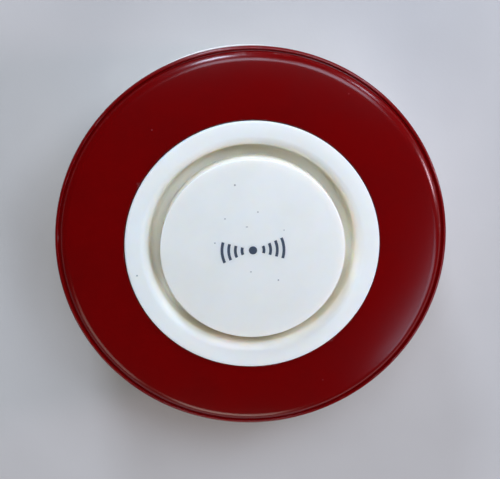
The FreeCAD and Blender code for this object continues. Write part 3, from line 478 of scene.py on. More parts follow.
@dataclass(frozen=True)
class Metal(Finish):
    """A bare metal with rolling or drawing marks and dull patches."""

    name: str
    colour: Colour
    dull: Colour
    roughness: float
    streaks: Triple = (1.0, 1.0, 1.0)
    streak_scale: float = 900.0
    patch_scale: float = 9000.0
    relief: float = 0.004
    tarnish: float = 0.5
    wear: float = 0.4
    rubbed: Colour = Colour(240, 238, 232)
    uneven: float = 0.14

    def shader(self, wiring: Wiring) -> bpy.types.Node:
        """Build the metal's nodes.

        Args:
            wiring: The material's wiring.

        Returns:
            The shader node.
        """
        drawn = wiring.add("Mapping", {"Vector": wiring.place(), "Scale": self.streaks}).outputs[0]
        lines = wiring.noise(drawn, self.streak_scale, 5.0)
        patches = wiring.effect(EFFECTS.grain, scale=self.patch_scale)["Tone"]
        dull = wiring.times(wiring.ramp(patches, 0.42, 0.7), self.tarnish)
        colour = wiring.blend(dull, self.colour, self.dull)
        wear = wiring.times(wiring.effect(EFFECTS.wear)[0], self.wear)
        colour = wiring.blend(wear, colour, self.rubbed)
        spread = wiring.maths("MULTIPLY_ADD", lines, self.uneven, self.roughness - self.uneven / 2)
        return wiring.add("BsdfPrincipled", {
            "Base Color": colour, "Roughness": wiring.maths("MULTIPLY_ADD", dull, 0.15, spread),
            "Normal": wiring.bump(lines, self.relief, 0.8), "Metallic": 1.0})


@dataclass(frozen=True)
class BoardMask(Finish):
    """A board's green mask with buried tracks, tinned pads and a little dust."""

    name: str
    mask: Colour = Colour(22, 84, 52)
    track: Colour = Colour(38, 118, 70)
    track_pitch: float = 2.2
    pad: Colour = Colour(190, 190, 184)
    pad_share: float = 0.3
    pad_relief: float = 0.6
    relief: float = 0.03
    dust: float = 0.05
    dust_colour: Colour = Colour(150, 148, 140)
    roughness: float = 0.32
    coat: float = 0.3

    def shader(self, wiring: Wiring) -> bpy.types.Node:
        """Build the board's nodes.

        Args:
            wiring: The material's wiring.

        Returns:
            The shader node.
        """
        place = wiring.place()
        cells = 1 / (self.track_pitch * MM)
        runs = wiring.add("TexVoronoi", {"Vector": place, "Scale": cells, "Randomness": 0.7},
                          distance="MANHATTAN").outputs["Distance"]
        ring = wiring.ramp(wiring.maths("PINGPONG", runs, 0.18), 0.10, 0.13)
        colour = wiring.blend(ring, self.mask, self.track)
        dots = wiring.add("TexVoronoi", {"Vector": place, "Scale": cells * 0.8, "Randomness": 0.9}).outputs
        luck = wiring.add("SeparateColor", {0: dots["Color"]}).outputs[0]
        spot = wiring.ramp(dots["Distance"], 0.17, 0.13)
        pad = wiring.times(spot, wiring.maths("LESS_THAN", luck, self.pad_share))
        colour = wiring.blend(pad, colour, self.pad)
        colour = wiring.blend(wiring.effect(EFFECTS.dust, share=self.dust)[0], colour, self.dust_colour)
        height = wiring.maths("MULTIPLY_ADD", pad, self.pad_relief, ring)
        return wiring.add("BsdfPrincipled", {
            "Base Color": colour, "Roughness": wiring.maths("MULTIPLY_ADD", pad, -0.08, self.roughness),
            "Normal": wiring.bump(height, self.relief, 0.8), "Coat Weight": self.coat})


@dataclass(frozen=True)
class Fillet:
    """The rounding of a corner: its radius, and how many steps it takes."""

    radius: float
    steps: int


FINE = Fillet(0.1, 2)
HAIR = Fillet(0.12, 3)
CRISP = Fillet(0.15, 3)
SOFT = Fillet(0.2, 3)
EASED = Fillet(0.3, 3)
ROUND = Fillet(0.3, 4)


@dataclass(frozen=True)
class Corner:
    """A corner of a turned outline: its reach from the axis and its height above the base."""

    reach: float
    height: float
    fillet: Fillet | None = None

    def setback(self, before: "Corner", after: "Corner") -> float:
        """How far along its two edges the corner's fillet starts.

        Args:
            before: The corner before it.
            after: The corner after it.

        Returns:
            The distance from the corner.
        """
        here, back, ahead = (Vector((corner.reach, corner.height)) for corner in (self, before, after))
        return self.fillet.radius / math.tan((back - here).angle(ahead - here) / 2)


def section(inner: float, outer: float, low: float, high: float, *fillets: Fillet | None) -> list[Corner]:
    """The outline of a rod or sleeve.

    Args:
        inner: Its inner radius, 0 for a rod.
        outer: Its outer radius.
        low: The height of its foot.
        high: The height of its top.
        fillets: Those of its inner foot, outer foot, outer top and inner top, as far as it has any.

    Returns:
        Its corners, in order.
    """
    places = ((inner, low), (outer, low), (outer, high), (inner, high))
    return [Corner(*place, fillet) for place, fillet in zip_longest(places, fillets)]


class Shaping:
    """Closed shapes that grow into one piece's mesh."""

    def __init__(self, name: str, slot: Slot, carrier: Carrier = Carrier.SIREN) -> None:
        """Start an empty piece.

        Args:
            name: The piece's name.
            slot: The record's material slot of its finish. It is not used.
            carrier: The body that it rides on.
        """
        self.name, self.slot, self.carrier = name, slot, carrier
        self.mesh = bmesh.new()
        self.materials: list[bpy.types.Material] = []

    def wear(self, finish: Finish) -> int:
        """The place of a finish in the piece's list of materials."""
        material = finish.material
        if material not in self.materials:
            self.materials.append(material)
        return self.materials.index(material)

    def take(self, part: bmesh.types.BMesh, finish: Finish, place: Matrix | None = None) -> None:
        """Add a closed shape.

        Args:
            part: The shape. It is used up.
            finish: What the shape wears.
            place: Where it goes, or None if it is there already.
        """
        bmesh.ops.remove_doubles(part, verts=part.verts, dist=TOUCHING)
        bmesh.ops.recalc_face_normals(part, faces=part.faces)
        if place is not None:
            bmesh.ops.transform(part, matrix=place, verts=part.verts)
        index = self.wear(finish)
        for face in part.faces:
            face.material_index = index
        held = bpy.data.meshes.new("held")
        part.to_mesh(held)
        part.free()
        self.mesh.from_mesh(held)
        bpy.data.meshes.remove(held)

    def turn(self, corners: Sequence[Corner], finish: Finish, centre: Pair = (0.0, 0.0),
             steps: int = 64, start: float = 0.0, arc: float = FULL_TURN,
             place: Matrix | None = None) -> None:
        """Spin a closed outline round an upright axis.

        Args:
            corners: The outline's corners, in order round it.
            finish: What the shape wears.
            centre: Where the axis stands.
            steps: How many steps the spin takes.
            start: The angle at which it starts.
            arc: How far it goes.
            place: A further turn or move of the finished shape.
        """
        part = bmesh.new()
        verts = [part.verts.new((c.reach * MM, 0.0, c.height * MM)) for c in corners]
        part.faces.new(verts)
        for index, (vert, corner) in enumerate(zip(verts, corners)):
            if corner.fillet:
                setback = corner.setback(corners[index - 1], corners[(index + 1) % len(corners)])
                bmesh.ops.bevel(part, geom=[vert], affect="VERTICES", segments=corner.fillet.steps,
                                profile=0.5, material=-1, offset=setback * MM)
        bmesh.ops.delete(part, geom=list(part.faces), context="FACES_ONLY")
        on_axis = [e for e in part.edges if all(abs(v.co.x) < TOUCHING for v in e.verts)]
        bmesh.ops.delete(part, geom=on_axis, context="EDGES")
        turned = Matrix.Rotation(math.radians(start), 3, "Z")
        bmesh.ops.rotate(part, verts=part.verts, cent=(0, 0, 0), matrix=turned)
        whole = arc >= FULL_TURN
        bmesh.ops.spin(part, geom=list(part.verts) + list(part.edges), cent=(0, 0, 0), axis=(0, 0, 1),
                       angle=math.radians(arc), steps=steps, use_merge=whole)
        if not whole:
            ends = [edge for edge in part.edges if edge.is_boundary]
            bmesh.ops.holes_fill(part, edges=ends, sides=0)
        bmesh.ops.translate(part, verts=part.verts, vec=(centre[0] * MM, centre[1] * MM, 0.0))
        self.take(part, finish, place)

    def block(self, middle: Sequence[float], size: Sequence[float], finish: Finish,
              edge: float, place: Matrix | None = None) -> None:
        """Add a block with rounded edges.

        Args:
            middle: Its middle.
            size: Its sides.
            finish: What it wears.
            edge: The rounding of its edges.
            place: A further turn or move of the block.
        """
        part = bmesh.new()
        bmesh.ops.create_cube(part, size=1.0)
        bmesh.ops.scale(part, verts=part.verts, vec=Vector(size) * MM)
        bmesh.ops.bevel(part, geom=list(part.edges), affect="EDGES", offset=edge * MM, segments=3,
                        profile=0.5, material=-1)
        bmesh.ops.translate(part, verts=part.verts, vec=Vector(middle) * MM)
        self.take(part, finish, place)

    def finish(self, *replaced: str) -> None:
        """Turn the shapes into the piece's object.

        Args:
            replaced: The CAD nodes that it stands for.
        """
        mesh = bpy.data.meshes.new(self.name)
        self.mesh.to_mesh(mesh)
        self.mesh.free()
        for material in self.materials:
            mesh.materials.append(material)
        mesh.shade_smooth()
        mesh.set_sharp_from_angle(angle=math.radians(SMOOTH_BELOW))
        piece = bpy.data.objects.new(self.name, mesh)
        bpy.context.scene.collection.objects.link(piece)
        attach(piece, self.carrier.value)
        if replaced:
            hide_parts(*replaced)
        log.info("%s: %d faces on %s", self.name, len(mesh.polygons), self.carrier.value)


WHITE_SKIN = Moulded(
    "white_case", Colour(220, 216, 206), Colour(216, 212, 201), roughness=0.42,
    grain=4200.0, relief=0.005, wear=0.1, scuff=0.12, subsurface=0.8, subsurface_reach=3.0)
# The horn's film paints warm shade into its mouth roll and groove, below 38 mm.
HORN_SKIN = replace(
    WHITE_SKIN, name="white_horn", colour=Colour(250, 243, 229), tone=Colour(248, 240, 225),
    film=(38.0, 36.0), marks=(Mark(-35.6, -5.8, 0.35),))
# The disc's film paints warm shade down its side and under it, below 41.3 mm.
DISC_SKIN = replace(
    WHITE_SKIN, name="white_disc", colour=Colour(231, 230, 220), tone=Colour(228, 227, 216), roughness=0.46,
    scuff=0.2, film=(41.3, 39.5),
    marks=(Mark(-3.9, 20.4, 0.4), Mark(-7.6, 10.4, 0.3), Mark(-11.2, 3.2, 0.3), Mark(9.7, 5.5, 0.25),
           Mark(7.0, -10.0, 0.35), Mark(-1.1, -6.7, 0.3), Mark(2.3, 11.7, 0.3), Mark(-1.3, 7.4, 0.5, 2.4)))
RED_SKIN = Moulded(
    "red_lens", Colour(108, 1, 2), Colour(103, 1, 2), roughness=0.2, grain=3600.0,
    relief=0.001, wear=0.05, scuff=0.05, gloss=0.3, subsurface=0.3, subsurface_reach=4.0,
    marks=(Mark(31.5, 44.0, 0.3), Mark(19.1, -45.6, 0.3), Mark(-26.8, 38.0, 0.3)),
    mark_colour=Colour(140, 52, 56))
BLACK_SKIN = Moulded(
    "black_plastic", Colour(34, 35, 37), Colour(28, 29, 31), roughness=0.5, grain=3500.0,
    relief=0.008, dust=0.03, scuff=0.2)
RUBBER_SKIN = Moulded(
    "gasket_rubber", Colour(52, 54, 57), Colour(44, 46, 48), roughness=0.78, grain=2400.0,
    relief=0.012, dust=0.2)
CERAMIC_SKIN = Moulded(
    "fired_ceramic", Colour(208, 204, 190), Colour(192, 188, 172), roughness=0.6,
    grain=5200.0, relief=0.004, dust=0.02, scuff=0.05)
LAMP_SKIN = Moulded(
    "lamp_resin", Colour(240, 226, 150), Colour(232, 214, 128), roughness=0.22,
    grain=5200.0, relief=0.002, dust=0.02, subsurface=0.2)
CELL_SKIN = Moulded(
    "cell_film", Colour(58, 76, 92), Colour(50, 66, 82), roughness=0.28, grain=2600.0,
    relief=0.004, dust=0.03, wear=0.1, scuff=0.3, coat=0.4)
BAND_SKIN = replace(CELL_SKIN, name="cell_band", colour=Colour(196, 158, 74), tone=Colour(184, 146, 64))
DISH_SKIN = Moulded(
    "white_dish", Colour(246, 245, 242), Colour(240, 239, 236), roughness=0.2, grain=5200.0,
    relief=0.002, dust=0.02, scuff=0.05, gloss=0.7)
INK = Moulded(
    "slate_ink", Colour(62, 73, 86), Colour(54, 65, 78), roughness=0.5, grain=5000.0,
    relief=0.003, scuff=0.1)
SPRING_STEEL = Metal("spring_steel", Colour(196, 196, 194), Colour(150, 148, 144), 0.28, (1.0, 1.0, 6.0))
SCREW_STEEL = Metal("screw_steel", Colour(188, 187, 182), Colour(140, 137, 130), 0.34)
TIN = Metal("shield_tin", Colour(206, 206, 202), Colour(164, 163, 158), 0.32, (1.0, 12.0, 1.0), 500.0)
COPPER = Metal("copper_wire", Colour(200, 122, 78), Colour(132, 74, 50), 0.3)
BRASS = Metal("brass_sheet", Colour(205, 172, 98), Colour(190, 157, 88), 0.33, (1.0, 16.0, 1.0), 420.0)
BOARD_MASK = BoardMask("board_mask")


@dataclass
class FlashLens:
    """The red ring lens: domed top, rounded shoulder, groove, raised lip, skirt and four screw posts."""

    seat: float = 38.9
    dome_bend: Corner = Corner(47.41, 38.65, Fillet(115.0, 14))
    shoulder: Corner = Corner(57.62, 36.945, Fillet(3.65, 12))
    groove: tuple[Corner, ...] = (Corner(58.45, 35.3), Corner(58.65, 35.2), Corner(59.05, 35.7, HAIR))
    lip_height: float = 35.7
    lip_round: Fillet = Fillet(0.95, 10)
    skirt: tuple[Corner, ...] = (Corner(59.3, 25.7, SOFT), Corner(57.5, 25.7, CRISP))
    underside: tuple[Corner, ...] = (
        Corner(57.5, 33.4, Fillet(1.2, 5)), Corner(55.8, 35.45, Fillet(1.2, 5)),
        Corner(40.7, 37.05, Fillet(0.5, 3)), Corner(39.8, 36.0, EASED), Corner(36.0, 36.0, SOFT),
        Corner(36.0, 38.0, SOFT), Corner(38.9, 38.0))
    post_radius: float = 3.2
    post_top: float = 36.35
    post_bore: float = 1.3
    bore_top: float = 31.0
    screw_head: float = 2.7
    steps: int = 256

    def outline(self) -> list[Corner]:
        """The lens's section.

        Returns:
            Its corners, from its inner top edge outward.
        """
        room = Room.of("siren_lens")
        inner_edge = Corner(self.seat, room.high.z, HAIR)
        lip = Corner(room.reach, self.lip_height, self.lip_round)
        return [inner_edge, self.dome_bend, self.shoulder, *self.groove, lip, *self.skirt, *self.underside]

    def post_outline(self) -> list[Corner]:
        """The section of one screw post with its blind bore."""
        low = Room.of("siren_lens").low.z
        return [Corner(0.0, self.bore_top), Corner(self.post_bore, self.bore_top, EASED),
                Corner(self.post_bore, low), Corner(self.post_radius, low, ROUND),
                Corner(self.post_radius, self.post_top), Corner(0.0, self.post_top)]

    def build(self) -> None:
        """Build the lens in place of its CAD node."""
        shape = Shaping("flash_lens", Slot.RED)
        shape.turn(self.outline(), RED_SKIN, steps=self.steps)
        spread = Room.of("housing_screws").reach - self.screw_head
        for place in product((-spread, spread), repeat=2):
            shape.turn(self.post_outline(), RED_SKIN, place, steps=48)
        shape.finish("siren_lens")


@dataclass
class HornFront:
    """The white horn with its rolled mouth, and the raised disc that stands in it on four legs."""

    throat: float = 9.0
    floor: Pair = (29.5, 31.5)
    collar: Triple = (21.1, 22.7, 26.5)
    wall_outer: float = 33.5
    mouth: float = 31.5
    mouth_foot: float = 31.14
    mouth_roll: Fillet = Fillet(3.0, 16)
    ring_dish: float = 0.3
    bowl_fillet: float = 1.5
    flange_low: float = 38.0
    bar_width: float = 1.4
    snap: Triple = (36.7, 34.2, 35.8)
    snap_arc: float = 12.0
    disc_wall: float = 1.6
    disc_skirt: float = 8.0
    disc_thickness: float = 1.8
    rib: Triple = (10.8, 12.0, 1.4)
    leg_circle: float = 20.0
    leg_radius: float = 2.0
    peg_radius: float = 1.2
    steps: int = 224

    def horn_outline(self) -> list[Corner]:
        """The horn's section.

        Returns:
            Its corners, from the throat's lower edge outward.
        """
        low, high = self.floor
        collar_in, collar_out, collar_low = self.collar
        room = Room.of("front_horn")
        reach, top = room.reach, room.high.z
        return [
            Corner(self.throat, low, EASED), Corner(collar_in, low), Corner(collar_in, collar_low, SOFT),
            Corner(collar_out, collar_low, SOFT), Corner(collar_out, low, EASED),
            Corner(self.wall_outer, low, Fillet(self.bowl_fillet, 6)),
            Corner(self.wall_outer, self.flange_low), Corner(reach, self.flange_low, CRISP),
            Corner(reach, top, Fillet(0.35, 5)),
            Corner(self.mouth, top - self.ring_dish, self.mouth_roll),
            Corner(self.mouth_foot, high, Fillet(self.bowl_fillet, 8)),
            Corner(self.throat, high, Fillet(0.4, 4))]

    def build_horn(self) -> None:
        """Build the horn with its throat bars and snap hooks."""
        shape = Shaping("horn", Slot.WHITE)
        shape.turn(self.horn_outline(), HORN_SKIN, steps=self.steps)
        low, high = self.floor
        span = 2 * (self.throat + self.bar_width)
        for size in ((span, self.bar_width, high - low), (self.bar_width, span, high - low)):
            shape.block((0, 0, (low + high) / 2), size, HORN_SKIN, 0.25)
        tip, snap_low, snap_high = self.snap
        hook = section(self.wall_outer - 1, tip, snap_low, snap_high, None, Fillet(0.8, 4), CRISP)
        for quarter in range(QUARTERS):
            start = QUARTER_TURN * quarter - self.snap_arc / 2
            shape.turn(hook, HORN_SKIN, steps=10, start=start, arc=self.snap_arc)
        shape.finish("front_horn")

    def build_disc(self) -> None:
        """Build the raised disc with its stiffening ring, legs and pegs."""
        shape = Shaping("raised_disc", Slot.WHITE)
        room = Room.of("deflector_disc")
        reach, top = room.reach, room.high.z - PRINT
        under, skirt = top - self.disc_thickness, top - self.disc_skirt
        cap = [Corner(0.0, under), Corner(reach - self.disc_wall, under, Fillet(0.5, 4)),
               Corner(reach - self.disc_wall, skirt, CRISP), Corner(reach, skirt, Fillet(0.2, 4)),
               Corner(reach, top, Fillet(0.22, 5)), Corner(0.0, top)]
        shape.turn(cap, DISC_SKIN, steps=self.steps)
        inner, outer, depth = self.rib
        shape.turn(section(inner, outer, under - depth, under + SUNK, SOFT, SOFT), DISC_SKIN, steps=96)
        foot = self.floor[1]
        leg = section(0, self.leg_radius, foot, under + SUNK, None, SOFT)
        peg = section(0, self.peg_radius, room.low.z, foot + SUNK, None, EASED)
        side = self.leg_circle / math.sqrt(2)
        for place in product((-side, side), repeat=2):
            shape.turn(leg, DISC_SKIN, place, steps=40)
            shape.turn(peg, DISC_SKIN, place, steps=32)
        shape.finish("deflector_disc")

    def build(self) -> None:
        """Build the horn and the disc."""
        self.build_horn()
        self.build_disc()


@dataclass
class SoundMark:
    """The small printed sound mark on the disc: a dot with arcs on both sides."""

    dot: float = 1.25
    arcs: tuple[float, ...] = (3.3, 5.3, 7.3, 9.3)
    width: float = 0.85
    half_angle: float = 20.0

    def build(self) -> None:
        """Print the mark on the disc's top."""
        shape = Shaping("sound_mark", Slot.BLACK)
        top = Room.of("deflector_disc").high.z
        low = top - 2 * PRINT
        shape.turn(section(0, self.dot, low, top), INK, steps=48)
        for radius in self.arcs:
            band = section(radius - self.width / 2, radius + self.width / 2, low, top)
            for middle in (0, 180):
                shape.turn(band, INK, steps=24, start=middle - self.half_angle, arc=2 * self.half_angle)
        shape.finish()


@dataclass
class Assembly:
    """A sub-assembly that builds its own pieces and dresses the CAD nodes that stay in view."""

    nodes: dict[str, bpy.types.Object]
    finishes: ClassVar[dict[str, Finish]] = {}

    def build_pieces(self) -> None:
        """Build the pieces that stand for CAD nodes, where the sub-assembly has any."""

    def build(self) -> None:
        """Build the new pieces, then give each node that stays in view its finish."""
        self.build_pieces()
        for name, finish in self.finishes.items():
            for slot in self.nodes[name].material_slots:
                slot.material = finish.material
            log.info("%s: CAD node in %s", name, finish.name)


@dataclass
class WallMount(Assembly):
    """The wall plate with its four bayonet hooks and countersunk screw holes, shown by its CAD node."""

    finishes = {"mounting_plate": WHITE_SKIN}


@dataclass
class RearCase(Assembly):
    """The drafted white tub with its battery cover and the screws that close both, shown by CAD nodes."""

    finishes = {"rear_housing": WHITE_SKIN, "battery_cover": WHITE_SKIN,
                "battery_cover_screw": SCREW_STEEL, "housing_screws": SCREW_STEEL}


@dataclass
class PowerPack(Assembly):
    """The four round cells, each in a film with a bright band, between their springs and plates."""

    count: int = 4
    nub_radius: float = 2.75
    nub: float = 1.0
    washer_radius: float = 5.6
    washer_drop: float = 0.1
    recess: float = 0.35
    film: float = 0.15
    film_lap: float = 0.5
    band: float = 9.0
    steps: int = 80
    finishes = {"battery_springs": SPRING_STEEL, "battery_plates": SPRING_STEEL}

    def build_cell(self, number: int) -> None:
        """Build one cell in place of its CAD node.

        Args:
            number: Which cell, from the left.
        """
        node = f"battery_cell_{number}"
        room = Room.of(node)
        reach, shell = room.reach, room.high.y - room.low.y - self.nub
        skin, lap, sunk = reach - self.film, self.film_lap, shell - self.recess
        split, dish, edge = shell - lap - self.band, reach / 5, Fillet(lap, 5)
        way = 1 if number % 2 else -1
        foot = room.low.y if way > 0 else room.high.y
        place = Matrix.Translation(Vector((room.middle.x, foot, room.middle.z)) * MM)
        place @= Matrix.Rotation(math.radians(-QUARTER_TURN * way), 4, "X")
        can = [Corner(0, self.recess), Corner(skin - dish, self.recess, FINE),
               Corner(skin - dish + self.recess, 0, FINE), Corner(skin, 0, edge),
               Corner(skin, shell, edge), Corner(self.washer_radius, shell, FINE),
               Corner(self.washer_radius, sunk), Corner(0, sunk)]
        jacket = section(skin, reach, lap, split, None, FINE)
        band = section(skin, reach, split, shell - lap, None, None, FINE)
        washer = section(self.nub_radius, self.washer_radius, sunk, shell - self.washer_drop,
                         None, None, Fillet(0.05, 2))
        nub = section(0, self.nub_radius, sunk, shell + self.nub, None, None, Fillet(0.4, 5))
        shape = Shaping(f"cell_{number}", Slot.CELL)
        for outline, finish in ((can, SPRING_STEEL), (jacket, CELL_SKIN), (band, BAND_SKIN),
                                (washer, BLACK_SKIN), (nub, SPRING_STEEL)):
            shape.turn(outline, finish, steps=self.steps, place=place)
        shape.finish(node)

    def build_pieces(self) -> None:
        """Build the cells."""
        for number in range(1, self.count + 1):
            self.build_cell(number)


@dataclass
class Electronics(Assembly):
    """The round board and what stands on it: lamps, chip, radio, coil, capacitor and antenna."""

    lamp_count: int = 8
    lamp_side: float = 3.0
    lamp_foot: float = 0.7
    lamp_radius: float = 1.3
    lamp_dome: Fillet = Fillet(0.9, 6)
    coil_cheek: float = 0.9
    coil_waist: float = 3.0
    coil_wire: float = 0.42
    coil_layers: int = 6
    capacitor_radius: float = 3.15
    capacitor_foot: float = 0.9
    capacitor_crimp: float = 0.25
    chip_side: float = 7.0
    lead_count: int = 8
    lead_pitch: float = 0.8
    lead_width: float = 0.35
    lead_height: float = 0.25
    radio_board: float = 0.8
    radio_margin: float = 1.0
    pad_count: int = 7
    pad_pitch: float = 2.0
    finishes = {"main_board": BOARD_MASK, "board_screws": SCREW_STEEL, "antenna": COPPER,
                "light_reflector": DISH_SKIN}

    def build_lamps(self) -> None:
        """Build the ring of flash lamps, each with a foot, two terminals and a clear dome."""
        room = Room.of("flash_leds")
        low, high = room.levels
        circle, side, middle = room.reach - self.lamp_side / 2, self.lamp_side, low + self.lamp_foot / 2
        foot, pad, terminal = side * 0.83, side * 0.13, side * 0.7
        dome = section(0, self.lamp_radius, middle, high, None, None, self.lamp_dome)
        shape = Shaping("flash_lamps", Slot.RESIN)
        for index in range(self.lamp_count):
            angle = math.radians(FULL_TURN * index / self.lamp_count)
            x, y = circle * math.cos(angle), circle * math.sin(angle)
            shape.block((x, y, middle), (foot, side, self.lamp_foot), CERAMIC_SKIN, 0.08)
            for way in BOTH_WAYS:
                shape.block((x + way * (side - pad) / 2, y, low + pad / 2), (pad, terminal, pad), TIN, 0.05)
            shape.turn(dome, LAMP_SKIN, (x, y), steps=32)
        shape.finish("flash_leds")

    def build_coil(self) -> None:
        """Build the drum-core coil with its winding."""
        room = Room.of("inductor")
        (low, high), reach, waist = room.levels, room.reach, self.coil_waist
        inner_low, inner_high = low + self.coil_cheek, high - self.coil_cheek
        drum = [Corner(0, low), Corner(reach, low, CRISP), Corner(reach, inner_low, SOFT),
                Corner(waist, inner_low), Corner(waist, inner_high), Corner(reach, inner_high, SOFT),
                Corner(reach, high, ROUND), Corner(0, high)]
        shape = Shaping("drum_coil", Slot.BLACK)
        shape.turn(drum, BLACK_SKIN, room.centre, steps=56)
        wire, bend = self.coil_wire, Fillet(0.19, 3)
        for layer in range(self.coil_layers):
            start = inner_low + layer * wire
            loop = section(waist - OVERLAP, waist + wire, start, start + wire, None, bend, bend)
            shape.turn(loop, COPPER, room.centre, steps=56)
        shape.finish("inductor")

    def build_capacitor(self) -> None:
        """Build the capacitor: a crimped can on a black foot, with a dark mark on its top."""
        room = Room.of("capacitor")
        (low, high), radius = room.levels, self.capacitor_radius
        foot, top, crimp = self.capacitor_foot, high - 0.03, self.capacitor_crimp
        middle, waist = low + foot / 2, low + foot + 0.8
        can = [Corner(0, middle), Corner(radius, middle), Corner(radius, waist, FINE),
               Corner(radius - crimp, waist + crimp, CRISP), Corner(radius, waist + 2 * crimp, FINE),
               Corner(radius, top, Fillet(0.45, 5)), Corner(0, top)]
        mark = section(radius * 0.45, radius * 0.82, top - 0.05, high)
        shape = Shaping("can_capacitor", Slot.TIN)
        shape.block((*room.centre, middle), (2 * room.reach, 2 * room.reach, foot), BLACK_SKIN, 0.3)
        shape.turn(can, TIN, room.centre, steps=64)
        shape.turn(mark, BLACK_SKIN, room.centre, steps=16, start=120, arc=120)
        shape.finish("capacitor")

    def build_chip(self) -> None:
        """Build the flat chip with bent leads on its four sides."""
        room = Room.of("controller_chip")
        (low, high), (x, y) = room.levels, room.centre
        side, width, height = self.chip_side, self.lead_width, self.lead_height
        half, stand = side / 2, height * 0.4
        length = room.reach - half
        shape = Shaping("flat_chip", Slot.BLACK)
        shape.block((x, y, (low + stand + high) / 2), (side, side, high - low - stand), BLACK_SKIN, 0.1)
        for quarter in range(QUARTERS):
            turned = Matrix.Translation(Vector((x, y, 0)) * MM)
            turned @= Matrix.Rotation(math.radians(QUARTER_TURN * quarter), 4, "Z")
            for index in range(self.lead_count):
                along = (index - (self.lead_count - 1) / 2) * self.lead_pitch
                flat = (half + length * 0.6, along, low + height / 2)
                riser = (half + length * 0.1, along, (low + high) / 2 - 0.1)
                shape.block(flat, (length * 0.8, width, height), TIN, 0.04, turned)
                shape.block(riser, (length * 0.3, width, (high - low) * 0.6), TIN, 0.04, turned)
        shape.finish("controller_chip")

    def build_radio(self) -> None:
        """Build the radio: a small board with a screening can and edge pads."""
        room = Room.of("radio_module")
        (low, high), middle = room.levels, room.middle
        length, width = room.high.x - room.low.x, room.high.y - room.low.y
        board, margin = self.radio_board, self.radio_margin
        shape = Shaping("radio", Slot.TIN)
        shape.block((middle.x, middle.y, low + board / 2), (length, width, board), BOARD_MASK, 0.08)
        shape.block((middle.x, middle.y, (low + board + high) / 2 - OVERLAP / 2),
                    (length - 4 * margin, width - 2 * margin, high - low - board + OVERLAP), TIN, 0.35)
        for index in range(self.pad_count):
            x = middle.x + (index - (self.pad_count - 1) / 2) * self.pad_pitch
            for way in BOTH_WAYS:
                y = middle.y + way * (width / 2 - 0.25)
                shape.block((x, y, low + board / 2 + 0.02), (board, 0.5, board + 0.04), TIN, 0.08)
        shape.finish("radio_module")

    def build_pieces(self) -> None:
        """Build the parts that stand on the board."""
        self.build_lamps()
        self.build_coil()
        self.build_capacitor()
        self.build_chip()
        self.build_radio()


@dataclass
class Sounder(Assembly):
    """The piezo sounder under the throat, shown by its CAD nodes."""

    finishes = {"piezo_case": BLACK_SKIN, "piezo_diaphragm": BRASS, "piezo_ceramic": CERAMIC_SKIN,
                "diaphragm_gasket": RUBBER_SKIN, "piezo_pins": TIN}


@dataclass
class BackControls(Assembly):
    """The tamper plunger and the link button, with the switches above them."""

    switch_side: float = 6.0
    cover: float = 0.3
    rivet_radius: float = 0.45
    rivet_spread: float = 4.6
    leg_width: float = 0.7
    leg_spread: float = 4.5
    plunger_radius: float = 2.2
    collar: Pair = (11.3, 12.3)
    plunger_pin: float = 1.2
    button_radius: float = 3.0
    flange: Pair = (7.2, 8.0)
    button_stem: float = 1.5
    dish: float = 0.3
    finishes = {"tamper_spring": SPRING_STEEL}

    def build_switch(self, node: str) -> None:
        """Build one push switch: a black body, a steel face with four rivets and two pairs of legs.

        Args:
            node: The CAD node that it stands for.
        """
        room = Room.of(node)
        (low, high), (x, y) = room.levels, room.centre
        side, face = self.switch_side, low + self.cover / 2
        shape = Shaping(f"{node}_body", Slot.BLACK)
        shape.block((x, y, (face + high) / 2), (side, side, high - face), BLACK_SKIN, 0.15)
        shape.block((x, y, face + OVERLAP / 2), (side - 0.2, side - 0.2, self.cover), SPRING_STEEL, 0.1)
        rivet = section(0, self.rivet_radius, low, face + OVERLAP, None, HAIR)
        spread = self.rivet_spread / 2
        for aside, along in product((-spread, spread), repeat=2):
            shape.turn(rivet, BLACK_SKIN, (x + aside, y + along), steps=24)
        for way in BOTH_WAYS:
            shape.block((x, y + way * self.leg_spread / 2, high - self.cover / 2),
                        (2 * room.reach, self.leg_width, self.cover), TIN, 0.08)
        shape.finish(node)

    @staticmethod
    def build_pusher(name: str, node: str, carrier: Carrier, tip: Sequence[Corner],
                     collar: Pair, pin: float) -> None:
        """Build a turned piece that is pushed.

        Args:
            name: The finished piece's name.
            node: The CAD node that it stands for.
            carrier: The body that it rides on.
            tip: The corners of its tip, out to its shank.
            collar: The heights between which a collar stops it.
            pin: The radius of the pin on its end.
        """
        room = Room.of(node)
        (low, high), top = collar, room.high.z
        outline = [*tip, Corner(tip[-1].reach, low), Corner(room.reach, low, SOFT),
                   Corner(room.reach, high, SOFT), Corner(pin, high), Corner(pin, top, ROUND),
                   Corner(0, top)]
        shape = Shaping(name, Slot.BLACK, carrier)
        shape.turn(outline, BLACK_SKIN, room.centre, steps=64)
        shape.finish(node)

    def build_plunger(self) -> None:
        """Build the tamper plunger with its round tip."""
        low = Room.of("tamper_plunger").low.z
        tip = [Corner(0, low), Corner(self.plunger_radius, low, Fillet(0.5, 5))]
        self.build_pusher("plunger", "tamper_plunger", Carrier.TAMPER, tip, self.collar, self.plunger_pin)

    def build_button(self) -> None:
        """Build the link button with its dished tip."""
        low, dish = Room.of("link_button").low.z, self.dish
        hollow = self.button_radius - 3 * dish
        tip = [Corner(0, low + dish), Corner(hollow, low + dish, EASED), Corner(hollow + dish, low, CRISP),
               Corner(self.button_radius, low, ROUND)]
        self.build_pusher("push_button", "link_button", Carrier.BUTTON, tip, self.flange, self.button_stem)

    def build_pieces(self) -> None:
        """Build the switches, the plunger and the button."""
        self.build_switch("tamper_switch")
        self.build_switch("link_switch")
        self.build_plunger()
        self.build_button()


